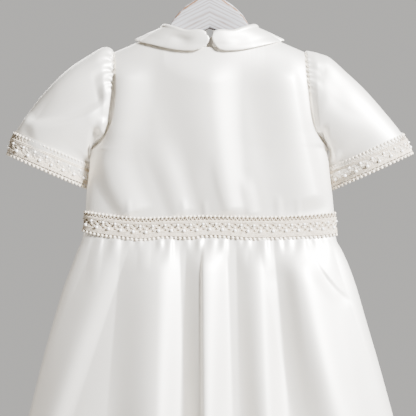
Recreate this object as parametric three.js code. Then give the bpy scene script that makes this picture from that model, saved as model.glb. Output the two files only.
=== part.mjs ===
// A baby's christening gown of ivory satin, trimmed with lace, on a wooden clothes hanger.
// Millimetres. +Z is up, -Y is the front of the gown, and +X is on the right seen from the front.
// The origin is the inside top of the hanger's hook, where a rail or a peg carries it.
import * as THREE from 'three';

// Cloth and seams
const clothWall = 1.6;
const laceWall = 1.3;
const seamGap = 0.3;
const laceLift = 0.6;
const laceTurns = 72;

// Heights
const shoulderNeckHeight = -118.5;
const chestHeight = -189;
const shoulderTipHeight = -142;
const underarmHeight = -250;
const waistHeight = -335;
const laceTopHeight = -321;
const laceBottomHeight = -349.5;
const hemHeight = -900;

// Neck and shoulders
const neckHalfWidth = 49;
const neckDepth = 28;
const neckDropFront = 21.1;
const neckDropBack = 4;
const neckCurve = 0.55;
const shoulderSlope = 0.427;
const sideRoundness = 2.6;
const shoulderRoundness = 2.4;

// Half widths and depths of the bodice, from the chest to the waist. The armhole is open as deep as its edge.
const bodiceLevels = [
  { height: -335, left: 137.2, right: 137.6, depth: 22, edge: 0 },
  { height: -321, left: 136.4, right: 137, depth: 23, edge: 0 },
  { height: -299, left: 135.4, right: 135, depth: 25, edge: 0 },
  { height: -275, left: 132.6, right: 132, depth: 27, edge: 0 },
  { height: -250, left: 129.2, right: 129.2, depth: 28, edge: 0 },
  { height: -245, left: 122.4, right: 126, depth: 28.2, edge: 8 },
  { height: -239, left: 115.6, right: 121, depth: 28.5, edge: 12.5 },
  { height: -231, left: 110.4, right: 115.6, depth: 28.8, edge: 16 },
  { height: -219, left: 105.2, right: 111.4, depth: 29, edge: 19 },
  { height: -204, left: 102.4, right: 108.6, depth: 29, edge: 20.5 },
  { height: -189, left: 100.8, right: 107, depth: 29, edge: 21 },
];

// Half widths of the front where it meets the armhole above the chest
const shoulderLevels = [
  { height: -189, left: 100.8, right: 107 },
  { height: -173, left: 101, right: 105 },
  { height: -157, left: 102, right: 103.6 },
  { height: shoulderTipHeight, left: 104, right: 103.2 },
];

// Closed skirt sections without their folds, one row of the skirt's grid at each
const skirtLevels = [
  { height: -335, left: 137.4, right: 137.8, depth: 22 },
  { height: -349.5, left: 140.6, right: 139.8, depth: 24 },
  { height: -359, left: 144.8, right: 145, depth: 26 },
  { height: -375, left: 151, right: 152.4, depth: 28.5 },
  { height: -400, left: 160.4, right: 161.4, depth: 32 },
  { height: -435, left: 171, right: 171.6, depth: 35.5 },
  { height: -480, left: 183.6, right: 184.8, depth: 39.5 },
  { height: -542, left: 199, right: 201.8, depth: 44.5 },
  { height: -640, left: 224, right: 227, depth: 51.5 },
  { height: -760, left: 254, right: 257, depth: 59.5 },
  { height: -900, left: 287, right: 290, depth: 68 },
];

// Each fold of the gathered skirt is a rounded ridge, with a valley between it and the next one.
// waist, middle and hem are where the ridge runs. rise and drop are the widths of its left and right flank at
// mid length, and high is its height there. fade is where a short gather has died away, and null for a fold
// that goes down to the hem. Lower down the valleys grow softer.
const middleHeight = -542;
const skirtColumns = 56;
const waistWidthShare = 0.75;
const hemWidthGrowth = 0.6;
const waistStrength = 0.45;
const hemStrengthGrowth = 0.35;
const foldsBelowWaist = 6;
const foldsFullBelowWaist = 60;
const foldSoftened = 0.55;
const frontFolds = [
  { waist: -121, middle: -146, hem: -180, rise: 12, drop: 10, high: 2.2, fade: -400 },
  { waist: -103, middle: -172, hem: -252, rise: 30, drop: 24, high: 5.5, fade: null },
  { waist: -70, middle: -72, hem: -76, rise: 10, drop: 10, high: 2, fade: -384 },
  { waist: -55, middle: -57, hem: -66, rise: 54, drop: 30, high: 13, fade: null },
  { waist: -3, middle: -3, hem: -2, rise: 29, drop: 28, high: 12.5, fade: null },
  { waist: 36, middle: 36, hem: 38, rise: 9, drop: 8, high: 1.6, fade: -380 },
  { waist: 50, middle: 60, hem: 84, rise: 28, drop: 26, high: 9.5, fade: null },
  { waist: 97, middle: 148, hem: 216, rise: 58, drop: 46, high: 14, fade: null },
  { waist: 126, middle: 178, hem: 190, rise: 12, drop: 10, high: 2.4, fade: -396 },
];
const backFolds = [
  { waist: -112, middle: -156, hem: -222, rise: 34, drop: 30, high: 8.5, fade: null },
  { waist: -90, middle: -98, hem: -110, rise: 11, drop: 10, high: 2.2, fade: -388 },
  { waist: -66, middle: -78, hem: -104, rise: 42, drop: 28, high: 12, fade: null },
  { waist: -14, middle: -12, hem: -8, rise: 32, drop: 27, high: 12.5, fade: null },
  { waist: 8, middle: 10, hem: 12, rise: 9, drop: 9, high: 2, fade: -382 },
  { waist: 38, middle: 48, hem: 68, rise: 29, drop: 26, high: 10.5, fade: null },
  { waist: 88, middle: 118, hem: 168, rise: 38, drop: 32, high: 12, fade: null },
  { waist: 122, middle: 168, hem: 240, rise: 26, drop: 24, high: 7, fade: null },
];

// Sleeve outline from the armhole, along 0, to the end of its lace, along 1.
// top and topHigh are its upper edge on each side, under and underHigh its underarm edge, and back how far
// the underarm edge lies behind the bodice's side.
const leftSleeve = [
  { along: 0, top: 104, topHigh: -142, under: 128.2, underHigh: -248.6, depth: 21, back: 0 },
  { along: 0.08, top: 112.7, topHigh: -137.8, under: 131.9, underHigh: -250.6, depth: 24, back: 2 },
  { along: 0.16, top: 122, topHigh: -139.6, under: 132.9, underHigh: -252.4, depth: 26, back: 4.5 },
  { along: 0.26, top: 135, topHigh: -147.2, under: 132.6, underHigh: -255.2, depth: 27.5, back: 8 },
  { along: 0.38, top: 153.5, topHigh: -159.6, under: 131.6, underHigh: -258, depth: 28, back: 12 },
  { along: 0.5, top: 172, topHigh: -177, under: 130.6, underHigh: -260.4, depth: 27.5, back: 14.5 },
  { along: 0.62, top: 190, topHigh: -196.4, under: 130.6, underHigh: -262.6, depth: 26, back: 16 },
  { along: 0.78, top: 213, topHigh: -230, under: 131.6, underHigh: -266.5, depth: 23, back: 18 },
  { along: 1, top: 221.6, topHigh: -256, under: 135.8, underHigh: -293.6, depth: 21.5, back: 19 },
];
const rightSleeve = [
  { along: 0, top: 103.2, topHigh: -142, under: 128.8, underHigh: -248.6, depth: 21, back: 0 },
  { along: 0.08, top: 110.5, topHigh: -142.6, under: 131.9, underHigh: -250.6, depth: 24, back: 2 },
  { along: 0.16, top: 119, topHigh: -143.6, under: 132.9, underHigh: -252.6, depth: 26, back: 4.5 },
  { along: 0.26, top: 131.6, topHigh: -148, under: 132.6, underHigh: -256, depth: 27.5, back: 8 },
  { along: 0.38, top: 149, topHigh: -163.2, under: 131.6, underHigh: -259, depth: 28, back: 12 },
  { along: 0.5, top: 168.5, topHigh: -181.4, under: 130.6, underHigh: -262, depth: 27.5, back: 14.5 },
  { along: 0.62, top: 188, topHigh: -203, under: 130.6, underHigh: -265, depth: 26, back: 16 },
  { along: 0.78, top: 211.4, topHigh: -232, under: 131.4, underHigh: -269.6, depth: 23, back: 18 },
  { along: 1, top: 222.4, topHigh: -255, under: 135.8, underHigh: -294.6, depth: 21.5, back: 19 },
];
const sleeveLaceStart = 0.78;
const sleeveClothEnd = 0.95;
const sleeveRows = [0, 0.04, 0.09, 0.15, 0.23, 0.36, 0.55, 0.78, 0.95];
const puffStart = 0.14;
const puffFullness = 0.9;
const armholeSeat = 0.8;

// Gathers of the sleeve cap, evenly round from the shoulder on the front and the back, with their depths
const capGathers = [1.5, 2, 2.8, 2.3, 1.6];
const capStart = 0.045;
const capStep = 0.0355;
const capGatherEnd = 0.19;
const capGatherSharpness = 0.7;
const shoulderRound = 0.22;
const underSteps = 9;

// Collar: turn is the place round the neck from the centre front, 0, to the centre back, 180.
// stand is how high it rises from the neck seam, out and low where its outer edge lies, and bow how far its
// rounded end swings towards the middle between them.
const collarStations = [
  { turn: 4, stand: 16.2, out: 12, low: -142.4, bow: 6.6 },
  { turn: 9, stand: 18, out: 15.4, low: -143.2, bow: 3 },
  { turn: 15, stand: 18.2, out: 19, low: -143.6, bow: 0 },
  { turn: 30, stand: 15.9, out: 32, low: -142.8, bow: 0 },
  { turn: 45, stand: 16, out: 46.4, low: -140, bow: 0 },
  { turn: 60, stand: 14.4, out: 60.6, low: -136, bow: 0 },
  { turn: 75, stand: 11, out: 73.6, low: -131.8, bow: 0 },
  { turn: 90, stand: 6.4, out: 81, low: -128.3, bow: 0 },
  { turn: 105, stand: 7.2, out: 73.6, low: -131.6, bow: 0 },
  { turn: 120, stand: 8, out: 60.6, low: -135, bow: 0 },
  { turn: 135, stand: 8.6, out: 46.4, low: -138.8, bow: 0 },
  { turn: 150, stand: 9, out: 32, low: -141.2, bow: 0 },
  { turn: 165, stand: 9.4, out: 19, low: -142, bow: 0 },
  { turn: 171, stand: 9.2, out: 15.4, low: -141.6, bow: 3 },
  { turn: 176, stand: 8, out: 12, low: -140.6, bow: 6.6 },
];
const collarRoll = 3.4;
const collarLift = 4;
const collarBulge = 1.6;
const collarRollTurns = [180, 135, 90, 45, 0];
const collarFallShares = [1 / 3, 2 / 3, 1];

// Back closure
const placketHalf = 6;
const placketEase = 3;
const placketSink = clothWall + seamGap + 0.2;
const buttonCount = 5;
const buttonRadius = 4.6;
const buttonHeight = 3;
const buttonFacets = 12;
const firstButtonHeight = -152;
const buttonPitch = 38;

// Hanger
const hangerHalfThickness = 5.5;
const hangerArmEnd = 96;
const hangerRoundFrom = 88;
const hangerEndShare = 0.82;
const hangerEndHeight = 0.35;
const hangerPeak = -78;
const hangerUnderPeak = -116;
const hangerUnderSlope = 0.42;
const hangerNeckDip = 3;
const hangerDipReach = 10;
const hangerCrown = [
  { out: 0, high: hangerPeak },
  { out: 9, high: -80 },
  { out: 18, high: -85.6 },
  { out: 27, high: -92 },
  { out: 34, high: -98.6 },
  { out: 40, high: -106.6 },
  { out: 43.4, high: -113 },
  { out: 45.2, high: -118.6 },
  { out: 48, high: -123 },
];
const hangerPlaces = [0, 9, 18, 27, 34, 40, 43.4, 45.2, 48, 53, 60, 68, 78, 88, 93, hangerArmEnd];
const hangerAround = 10;
const hangerFaceSquareness = 0.7;
const hangerEdgeSquareness = 0.85;
const hookWire = 3.5;
const hookInside = 20;
const hookTurns = [-55, -30, 0, 30, 60, 90, 120, 150, 180, 205];
const hookShank = [
  { out: 0, rise: seamGap },
  { out: 0, rise: 12 },
  { out: 0.4, rise: 24 },
  { out: 4, rise: 33 },
];
const hookSteps = 32;
const wireFacets = 4;

// Columns across the bodice: even spots below, and spots round the neck's curve at the top
const neckColumns = 6;
const shoulderColumns = 6;
const topZoneRows = [0.26, 0.5, 0.7, 0.85, 0.95, 1];
const neckColumnsSettled = 0.8;

// Smooth value of a table's column at a place along its key column
function read(table, key, place, column) {
  const rising = table[table.length - 1][key] > table[0][key];
  const rows = rising ? table : [...table].reverse();
  const last = rows.length - 1;
  const spot = THREE.MathUtils.clamp(place, rows[0][key], rows[last][key]);
  let i = 0;
  while (i < last - 1 && spot > rows[i + 1][key]) i += 1;
  const slope = (j) => {
    const a = rows[Math.max(j - 1, 0)];
    const b = rows[Math.min(j + 1, last)];
    return (b[column] - a[column]) / (b[key] - a[key]);
  };
  const step = rows[i + 1][key] - rows[i][key];
  const s = (spot - rows[i][key]) / step;
  const from = rows[i][column];
  const to = rows[i + 1][column];
  return (1 + 2 * s) * (1 - s) ** 2 * from + s * s * (3 - 2 * s) * to
    + s * (1 - s) ** 2 * step * slope(i) - s * s * (1 - s) * step * slope(i + 1);
}

// Outline of the neck and the shoulder seam above a place x, on the front or the back
function topHeight(x, back) {
  const away = Math.abs(x);
  if (away >= neckHalfWidth) return shoulderNeckHeight - (away - neckHalfWidth) * shoulderSlope;
  const drop = back ? neckDropBack : neckDropFront;
  return shoulderNeckHeight - drop * (1 - (away / neckHalfWidth) ** 2) ** neckCurve;
}

function neckEdgeDepth(x) {
  return neckDepth * Math.sqrt(Math.max(0, 1 - (x / neckHalfWidth) ** 2));
}

function halfWidth(x, z) {
  const side = x < 0 ? 'left' : 'right';
  return read(z > chestHeight ? shoulderLevels : bodiceLevels, 'height', z, side);
}

// Depth of a bodice section at level z, cut off at the armhole where its edge stands open
function sectionDepth(x, z) {
  const depth = read(bodiceLevels, 'height', z, 'depth');
  const edge = z <= underarmHeight ? 0 : read(bodiceLevels, 'height', z, 'edge');
  const shrink = (1 - (edge / depth) ** 2) ** (1 / sideRoundness);
  const across = Math.abs(x) / halfWidth(x, z);
  return depth * Math.sqrt(Math.max(0, 1 - (shrink * across) ** sideRoundness));
}

// How far the cloth of the bodice stands in front of, or behind, the middle plane at x and z
function bodiceDepth(x, z, back) {
  if (z <= chestHeight) return sectionDepth(x, z);
  const rise = THREE.MathUtils.clamp((z - chestHeight) / (topHeight(x, back) - chestHeight), 0, 1);
  const low = sectionDepth(x, chestHeight);
  const high = neckEdgeDepth(x);
  return high + (low - high) * Math.sqrt(1 - rise ** shoulderRoundness);
}

// Normals of a grid of points, rows of columns, from its neighbours along and across
function gridNormals(grid, ring) {
  const rows = grid.length;
  const cols = grid[0].length;
  return grid.map((line, r) => line.map((_, c) => {
    const up = grid[Math.min(r + 1, rows - 1)][c];
    const down = grid[Math.max(r - 1, 0)][c];
    const next = ring ? line[(c + 1) % cols] : line[Math.min(c + 1, cols - 1)];
    const before = ring ? line[(c + cols - 1) % cols] : line[Math.max(c - 1, 0)];
    const across = next.clone().sub(before);
    const along = up.clone().sub(down);
    return across.cross(along).normalize();
  }));
}

// The grid moved along its normals, which adjust may straighten at a seam
function movedGrid(grid, distance, ring, adjust) {
  const normals = gridNormals(grid, ring);
  return grid.map((line, r) => line.map((point, c) => {
    const normal = normals[r][c];
    if (adjust) adjust(normal, r, c);
    return point.clone().addScaledVector(normal.normalize(), distance);
  }));
}

// A closed body between two grids, with a rim round its open edges and its faces pointing out
function wallBetween(outer, inner, ring) {
  const rows = outer.length;
  const cols = outer[0].length;
  const points = [...outer.flat(), ...inner.flat()];
  const at = (layer, r, c) => layer * rows * cols + r * cols + (c % cols);
  const faces = [];
  const quad = (a, b, c, d) => faces.push(a, b, c, a, c, d);
  const spans = ring ? cols : cols - 1;
  for (let c = 0; c < spans; c += 1) {
    for (let r = 0; r < rows - 1; r += 1) {
      quad(at(0, r, c), at(0, r, c + 1), at(0, r + 1, c + 1), at(0, r + 1, c));
      quad(at(1, r, c), at(1, r + 1, c), at(1, r + 1, c + 1), at(1, r, c + 1));
    }
    quad(at(0, 0, c + 1), at(0, 0, c), at(1, 0, c), at(1, 0, c + 1));
    quad(at(0, rows - 1, c), at(0, rows - 1, c + 1), at(1, rows - 1, c + 1), at(1, rows - 1, c));
  }
  if (!ring) {
    for (let r = 0; r < rows - 1; r += 1) {
      quad(at(0, r, 0), at(0, r + 1, 0), at(1, r + 1, 0), at(1, r, 0));
      quad(at(0, r + 1, cols - 1), at(0, r, cols - 1), at(1, r, cols - 1), at(1, r + 1, cols - 1));
    }
  }
  return bodyFrom(points, faces);
}

function bodyFrom(points, faces) {
  let volume = 0;
  for (let i = 0; i < faces.length; i += 3) {
    const [a, b, c] = [points[faces[i]], points[faces[i + 1]], points[faces[i + 2]]];
    volume += a.dot(b.clone().cross(c));
  }
  if (volume < 0) faces.reverse();
  const geometry = new THREE.BufferGeometry();
  geometry.setFromPoints(points);
  geometry.setIndex(faces);
  return geometry;
}

// Where the columns of a bodice panel cross a row: spread evenly low down, round the neck's curve at the top
function columnSpots(from, to) {
  const spots = [];
  const count = neckColumns + shoulderColumns;
  for (let j = -count; j <= count; j += 1) {
    const side = Math.sign(j);
    const turn = Math.min(Math.abs(j) / neckColumns, 1) * (Math.PI / 2);
    const past = Math.max(Math.abs(j) - neckColumns, 0) / shoulderColumns;
    const tip = halfWidth(side, shoulderTipHeight);
    const even = Math.sin((j / count) * (Math.PI / 2));
    const high = side * THREE.MathUtils.lerp(neckHalfWidth * Math.sin(turn), tip, past) / tip;
    spots.push({ even, high });
  }
  return spots.filter((spot) => spot.even >= from && spot.even <= to);
}

// The outer grid of a bodice panel, from the waist to the neck and shoulder
function bodiceGrid(back, columns) {
  const rows = bodiceLevels.map((level) => {
    const z = level.height === waistHeight ? level.height + seamGap / 2 : level.height;
    return columns.map((spot) => {
      const x = spot.fixed ?? spot.even * halfWidth(spot.even, z);
      return onBodice(x, z, back, spot.sunk);
    });
  });
  topZoneRows.forEach((rise) => {
    rows.push(columns.map((spot) => {
      const share = THREE.MathUtils.lerp(spot.even, spot.high, Math.min(1, rise / neckColumnsSettled));
      const edgeZ = THREE.MathUtils.lerp(chestHeight, shoulderTipHeight, rise);
      const x = spot.fixed ?? share * halfWidth(share, edgeZ);
      const z = THREE.MathUtils.lerp(chestHeight, topHeight(x, back), rise);
      return onBodice(x, z, back, spot.sunk);
    }));
  });
  return rows;
}

// Seams between front and back are cut square to the middle plane, so that both edges face each other
function squareAtSeams(rowCount, columns) {
  const underarmRow = bodiceLevels.findIndex((level) => level.height === underarmHeight);
  return (normal, r, c) => {
    const { even = 0, high = 0 } = columns[c];
    const atSide = Math.abs(even) > 0.999 && r <= underarmRow;
    const tip = halfWidth(high, shoulderTipHeight);
    const atShoulder = r === rowCount - 1 && Math.abs(high) * tip > neckHalfWidth - 0.01;
    if (atSide || atShoulder) normal.y = 0;
  };
}

function bodicePanel(back, columns) {
  const grid = bodiceGrid(back, columns);
  const inward = back ? clothWall : -clothWall;
  const adjust = squareAtSeams(grid.length, columns);
  return wallBetween(grid, movedGrid(grid, inward, false, adjust), false);
}

function onBodice(x, z, back, sunk) {
  const depth = bodiceDepth(x, z, back) + seamGap / 2 - (sunk ? placketSink : 0);
  return new THREE.Vector3(x, back ? depth : -depth, z);
}

// The right back laps over the left one at the centre, and the left one runs on underneath
function bodiceBack(right) {
  if (right) return bodicePanel(true, [{ fixed: -placketHalf }, { fixed: 0 }, ...columnSpots(0.1, 1)]);
  const lap = [
    { fixed: -placketHalf - placketEase },
    { fixed: -placketHalf - placketEase / 3, sunk: true },
    { fixed: placketHalf, sunk: true },
  ];
  return bodicePanel(true, [...columnSpots(-1, -0.1), ...lap]);
}

// A fold's outline across, from its ridge at 0 to the foot of a flank at 1. soft rounds the foot off.
function foldOutline(across, soft) {
  if (Math.abs(across) >= 1) return 0;
  return THREE.MathUtils.lerp(Math.cos((Math.PI / 2) * across), (1 + Math.cos(Math.PI * across)) / 2, soft);
}

function foldHeight(folds, x, z) {
  const high = THREE.MathUtils.clamp((laceBottomHeight - z) / (laceBottomHeight - middleHeight), 0, 1);
  const low = THREE.MathUtils.clamp((middleHeight - z) / (middleHeight - hemHeight), 0, 1);
  const below = waistHeight - z;
  const grow = THREE.MathUtils.smoothstep(below, foldsBelowWaist, foldsFullBelowWaist);
  let total = 0;
  folds.forEach((fold) => {
    const run = fold.waist + (fold.middle - fold.waist) * high + (fold.hem - fold.middle) * low;
    const widen = THREE.MathUtils.lerp(waistWidthShare, 1, high) + hemWidthGrowth * low;
    const width = (x < run ? fold.rise : fold.drop) * widen;
    const long = THREE.MathUtils.lerp(waistStrength, 1, high) + hemStrengthGrowth * low;
    const short = THREE.MathUtils.clamp((z - fold.fade) / (laceBottomHeight - fold.fade), 0, 1);
    const strength = fold.fade === null ? long : short;
    total += fold.high * strength * grow * foldOutline((x - run) / width, foldSoftened * high);
  });
  return total;
}

function skirtPoint(across, z, back) {
  const x = Math.sin(across * (Math.PI / 2));
  const half = read(skirtLevels, 'height', z, x < 0 ? 'left' : 'right');
  const depth = read(skirtLevels, 'height', z, 'depth');
  const round = Math.sqrt(Math.max(0, 1 - Math.abs(x) ** sideRoundness));
  const fold = foldHeight(back ? backFolds : frontFolds, x * half, z) * (1 - Math.abs(x) ** 6);
  const y = depth * round + (z >= laceBottomHeight ? 0 : fold) + seamGap / 2;
  return new THREE.Vector3(x * half, back ? y : -y, z);
}

function skirtHalf(back) {
  const grid = skirtLevels.map(({ height }) => {
    const z = height === waistHeight ? height - seamGap / 2 : height;
    return Array.from({ length: skirtColumns }, (_, c) => (
      skirtPoint((2 * c) / (skirtColumns - 1) - 1, z, back)));
  });
  const square = (normal, r, c) => {
    if (c === 0 || c === skirtColumns - 1) normal.y = 0;
  };
  return wallBetween(grid, movedGrid(grid, back ? -clothWall : clothWall, false, square), false);
}

// The waist lace goes round the bodice's last rows and the skirt's first, a little way off both
function waistLace() {
  const heights = [laceBottomHeight, waistHeight, laceTopHeight];
  const place = (turn, z) => {
    const back = turn > Math.PI;
    const across = back ? 3 - (2 * turn) / Math.PI : (2 * turn) / Math.PI - 1;
    const x = Math.sin(across * (Math.PI / 2));
    const table = z > waistHeight ? bodiceLevels : skirtLevels;
    const half = read(table, 'height', z, x < 0 ? 'left' : 'right');
    const depth = read(table, 'height', z, 'depth');
    const round = Math.sqrt(Math.max(0, 1 - Math.abs(x) ** sideRoundness));
    return new THREE.Vector3(x * half, (back ? 1 : -1) * (depth * round + seamGap / 2), z);
  };
  const base = heights.map((z) => Array.from({ length: laceTurns }, (_, c) => (
    place(((c + 0.5) / laceTurns) * 2 * Math.PI, z))));
  const inner = movedGrid(base, laceLift, true);
  return wallBetween(movedGrid(base, laceLift + laceWall, true), inner, true);
}

// A point of a sleeve: along from the armhole, and round from the shoulder down the front and up the back
function sleevePoint(side, along, round) {
  const table = side < 0 ? leftSleeve : rightSleeve;
  const at = (column) => read(table, 'along', along, column);
  const down = (1 - Math.cos(round)) / 2;
  const front = Math.sin(round) >= 0 ? -1 : 1;
  const edgeZ = THREE.MathUtils.lerp(table[0].topHigh, table[0].underHigh, down);
  const edgeX = halfWidth(side, edgeZ);
  const straightX = THREE.MathUtils.lerp(at('top'), at('under'), down);
  const bulge = (edgeX - THREE.MathUtils.lerp(table[0].top, table[0].under, down)) * (1 - along) ** 2;
  const z = THREE.MathUtils.lerp(at('topHigh'), at('underHigh'), down);
  const open = edgeZ < underarmHeight + 0.01 ? 0 : bodiceDepth(side * edgeX * 0.9999, edgeZ, front > 0);
  const full = at('depth') * Math.abs(Math.sin(round)) ** puffFullness;
  const puff = THREE.MathUtils.smoothstep(along, 0, puffStart);
  const depth = THREE.MathUtils.lerp(open, full, puff) + seamGap / 2 * (1 - puff);
  const back = at('back') * down ** 2;
  return new THREE.Vector3(side * (straightX + bulge), front * depth + back, z);
}

// How deep the cap's gathers cut at a place on the sleeve
function gatherDepth(along, round) {
  const down = (1 - Math.cos(round)) / 2;
  const strength = Math.sin(Math.min(along / capGatherEnd, 1) * Math.PI) ** capGatherSharpness;
  return capGathers.reduce((sum, deep, i) => {
    const away = Math.abs(down - capStart - (2 * i + 1) * capStep) / capStep;
    return away < 1 ? sum + deep * strength * Math.cos((Math.PI / 2) * away) ** 2 : sum;
  }, 0);
}

// Places round a sleeve: at each gather's crest and bottom on the cap, and evenly under the arm
function sleeveRounds() {
  const capEnd = capStart + 2 * capGathers.length * capStep;
  const half = [0, shoulderRound];
  for (let k = 0; k <= 2 * capGathers.length; k += 1) half.push(Math.acos(1 - 2 * (capStart + k * capStep)));
  const last = Math.acos(1 - 2 * capEnd);
  for (let k = 1; k <= underSteps; k += 1) half.push(THREE.MathUtils.lerp(last, Math.PI, k / underSteps));
  return [...half, ...half.slice(1, -1).reverse().map((round) => 2 * Math.PI - round)];
}

// The first ring of a sleeve stands off the bodice's armhole edge, square to it
function seatOffArmhole(point, side) {
  const lean = (halfWidth(side, point.z - 2) - halfWidth(side, point.z + 2)) / 4;
  const away = new THREE.Vector3(side, 0, lean).normalize();
  point.addScaledVector(away, armholeSeat);
}

function sleeveGrid(side, rows, gathered) {
  const rounds = sleeveRounds();
  const grid = rows.map((along) => rounds.map((round) => sleevePoint(side, along, round)));
  if (rows[0] === 0) grid[0].forEach((point) => seatOffArmhole(point, side));
  if (!gathered) return grid;
  const normals = gridNormals(grid, true);
  return grid.map((line, r) => line.map((point, c) => (
    point.clone().addScaledVector(normals[r][c], -side * gatherDepth(rows[r], rounds[c])))));
}

function sleeve(side) {
  const grid = sleeveGrid(side, sleeveRows, true);
  return wallBetween(grid, movedGrid(grid, -side * clothWall, true), true);
}

function cuffLace(side) {
  const rows = [sleeveLaceStart, sleeveClothEnd, 1];
  const base = sleeveGrid(side, rows, false);
  const inner = movedGrid(base, side * laceLift, true);
  return wallBetween(movedGrid(base, side * (laceLift + laceWall), true), inner, true);
}

// One half of the collar: up from the neck seam, over the roll, and down on to the bodice
function collarHalf(side) {
  const rows = collarStations.map((station) => {
    const turn = THREE.MathUtils.degToRad(station.turn);
    const back = station.turn > 90;
    const out = new THREE.Vector3(neckDepth * Math.sin(turn), -neckHalfWidth * Math.cos(turn), 0).normalize();
    const edgeX = neckHalfWidth * Math.sin(turn);
    const seamZ = topHeight(edgeX, back) + seamGap;
    const seam = new THREE.Vector3(edgeX, -neckDepth * Math.cos(turn), seamZ);
    seam.addScaledVector(out, -clothWall);
    const rollZ = seamZ + station.stand;
    const section = [seam.clone()];
    const centre = seam.clone().addScaledVector(out, collarRoll).setZ(rollZ - collarRoll);
    collarRollTurns.forEach((degrees) => {
      const angle = THREE.MathUtils.degToRad(degrees);
      section.push(centre.clone().addScaledVector(out, collarRoll * Math.cos(angle))
        .add(new THREE.Vector3(0, 0, collarRoll * Math.sin(angle))));
    });
    const flat = station.turn === 90;
    const rest = flat ? 0 : bodiceDepth(station.out, station.low, back) + collarLift;
    const edge = new THREE.Vector3(station.out, back ? rest : -rest, station.low);
    const from = section[section.length - 1];
    collarFallShares.forEach((share) => {
      const point = from.clone().lerp(edge, share);
      point.addScaledVector(out, collarBulge * Math.sin(Math.PI * share));
      point.x -= station.bow * 4 * share * (1 - share);
      const under = point.z < topHeight(point.x, back) - 0.5;
      const least = under ? bodiceDepth(point.x, point.z, back) + collarLift : 0;
      if (!flat && Math.abs(point.y) < least) point.y = back ? least : -least;
      section.push(point);
    });
    return section.map((p) => new THREE.Vector3(side * p.x, p.y, p.z));
  });
  return wallBetween(rows, movedGrid(rows, -side * clothWall, false), false);
}

// Upper outline of the hanger: its crown in the neck, then close under the shoulder seams
function hangerTop(x) {
  const away = Math.abs(x);
  if (away <= hangerCrown[hangerCrown.length - 1].out) return read(hangerCrown, 'out', away, 'high');
  const dip = hangerNeckDip * Math.max(0, 1 - (away - neckHalfWidth) / hangerDipReach) ** 2;
  return topHeight(away, false) - clothWall - seamGap - Math.min(dip, hangerNeckDip);
}

// The hanger's two arms as one row of rounded sections along its length
function hangerWood() {
  const squared = (value, power) => Math.sign(value) * Math.abs(value) ** power;
  const stations = [...hangerPlaces.slice(1).reverse().map((x) => -x), ...hangerPlaces];
  const sections = stations.map((x) => {
    const end = Math.max(0, (Math.abs(x) - hangerRoundFrom) / (hangerArmEnd - hangerRoundFrom));
    const round = Math.sqrt(1 - hangerEndShare * end ** 2);
    const top = hangerTop(x);
    const under = hangerUnderPeak - hangerUnderSlope * Math.abs(x);
    const full = (top - under) / 2;
    const half = full * THREE.MathUtils.lerp(hangerEndHeight, 1, round);
    const middle = (top + under) / 2 - (full - half) / 2;
    return Array.from({ length: hangerAround }, (_, k) => {
      const angle = ((2 * k + 1) * Math.PI) / hangerAround;
      const y = hangerHalfThickness * round * squared(Math.cos(angle), hangerFaceSquareness);
      return new THREE.Vector3(x, y, middle + half * squared(Math.sin(angle), hangerEdgeSquareness));
    });
  });
  return loftSections(sections);
}

// A closed body through rings of points, with a fan over each end
function loftSections(sections) {
  const around = sections[0].length;
  const points = sections.flat();
  const faces = [];
  sections.slice(1).forEach((_, s) => {
    for (let k = 0; k < around; k += 1) {
      const a = s * around + k;
      const b = s * around + ((k + 1) % around);
      faces.push(a, b, b + around, a, b + around, a + around);
    }
  });
  [0, sections.length - 1].forEach((s) => {
    const centre = points.length;
    points.push(sections[s].reduce((sum, p) => sum.add(p), new THREE.Vector3()).divideScalar(around));
    for (let k = 0; k < around; k += 1) {
      const a = s * around + k;
      const b = s * around + ((k + 1) % around);
      if (s === 0) faces.push(centre, b, a);
      else faces.push(centre, a, b);
    }
  });
  return bodyFrom(points, faces);
}

// A steel wire from the hanger's crown up and round into an open hook
function hangerHook() {
  const radius = hookInside + hookWire / 2;
  const arc = hookTurns.map((degrees) => {
    const angle = THREE.MathUtils.degToRad(degrees);
    return new THREE.Vector3(radius * Math.cos(angle), 0, radius * Math.sin(angle) - hookInside);
  });
  const shank = hookShank.map(({ out, rise }) => new THREE.Vector3(out, 0, hangerPeak + rise));
  const path = new THREE.CatmullRomCurve3([...shank, ...arc], false, 'centripetal');
  const section = new THREE.Shape();
  section.absarc(0, 0, hookWire / 2, 0, 2 * Math.PI);
  const options = { steps: hookSteps, curveSegments: wireFacets, extrudePath: path };
  return new THREE.ExtrudeGeometry(section, options);
}

// A shank button: a domed round, flat behind
function buttonShape() {
  const profile = [
    new THREE.Vector2(0, 0),
    new THREE.Vector2(buttonRadius * 0.8, 0),
    new THREE.Vector2(buttonRadius, buttonHeight * 0.35),
    new THREE.Vector2(buttonRadius * 0.72, buttonHeight * 0.85),
    new THREE.Vector2(0, buttonHeight),
  ];
  return new THREE.LatheGeometry(profile, buttonFacets);
}

const satin = { color: '#f4f2ec', roughness: 0.45, metalness: 0 };
const lace = { color: '#efe6d8', roughness: 0.8, metalness: 0 };
const wood = { color: '#cfccd0', roughness: 0.75, metalness: 0 };
const steel = { color: '#c4c6c9', roughness: 0.3, metalness: 1 };
const pearl = { color: '#f2ebdf', roughness: 0.25, metalness: 0 };

const gown = new THREE.Group();

function add(name, geometry, finish) {
  const mesh = new THREE.Mesh(geometry, new THREE.MeshStandardMaterial(finish));
  mesh.name = name;
  gown.add(mesh);
  return mesh;
}

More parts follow.
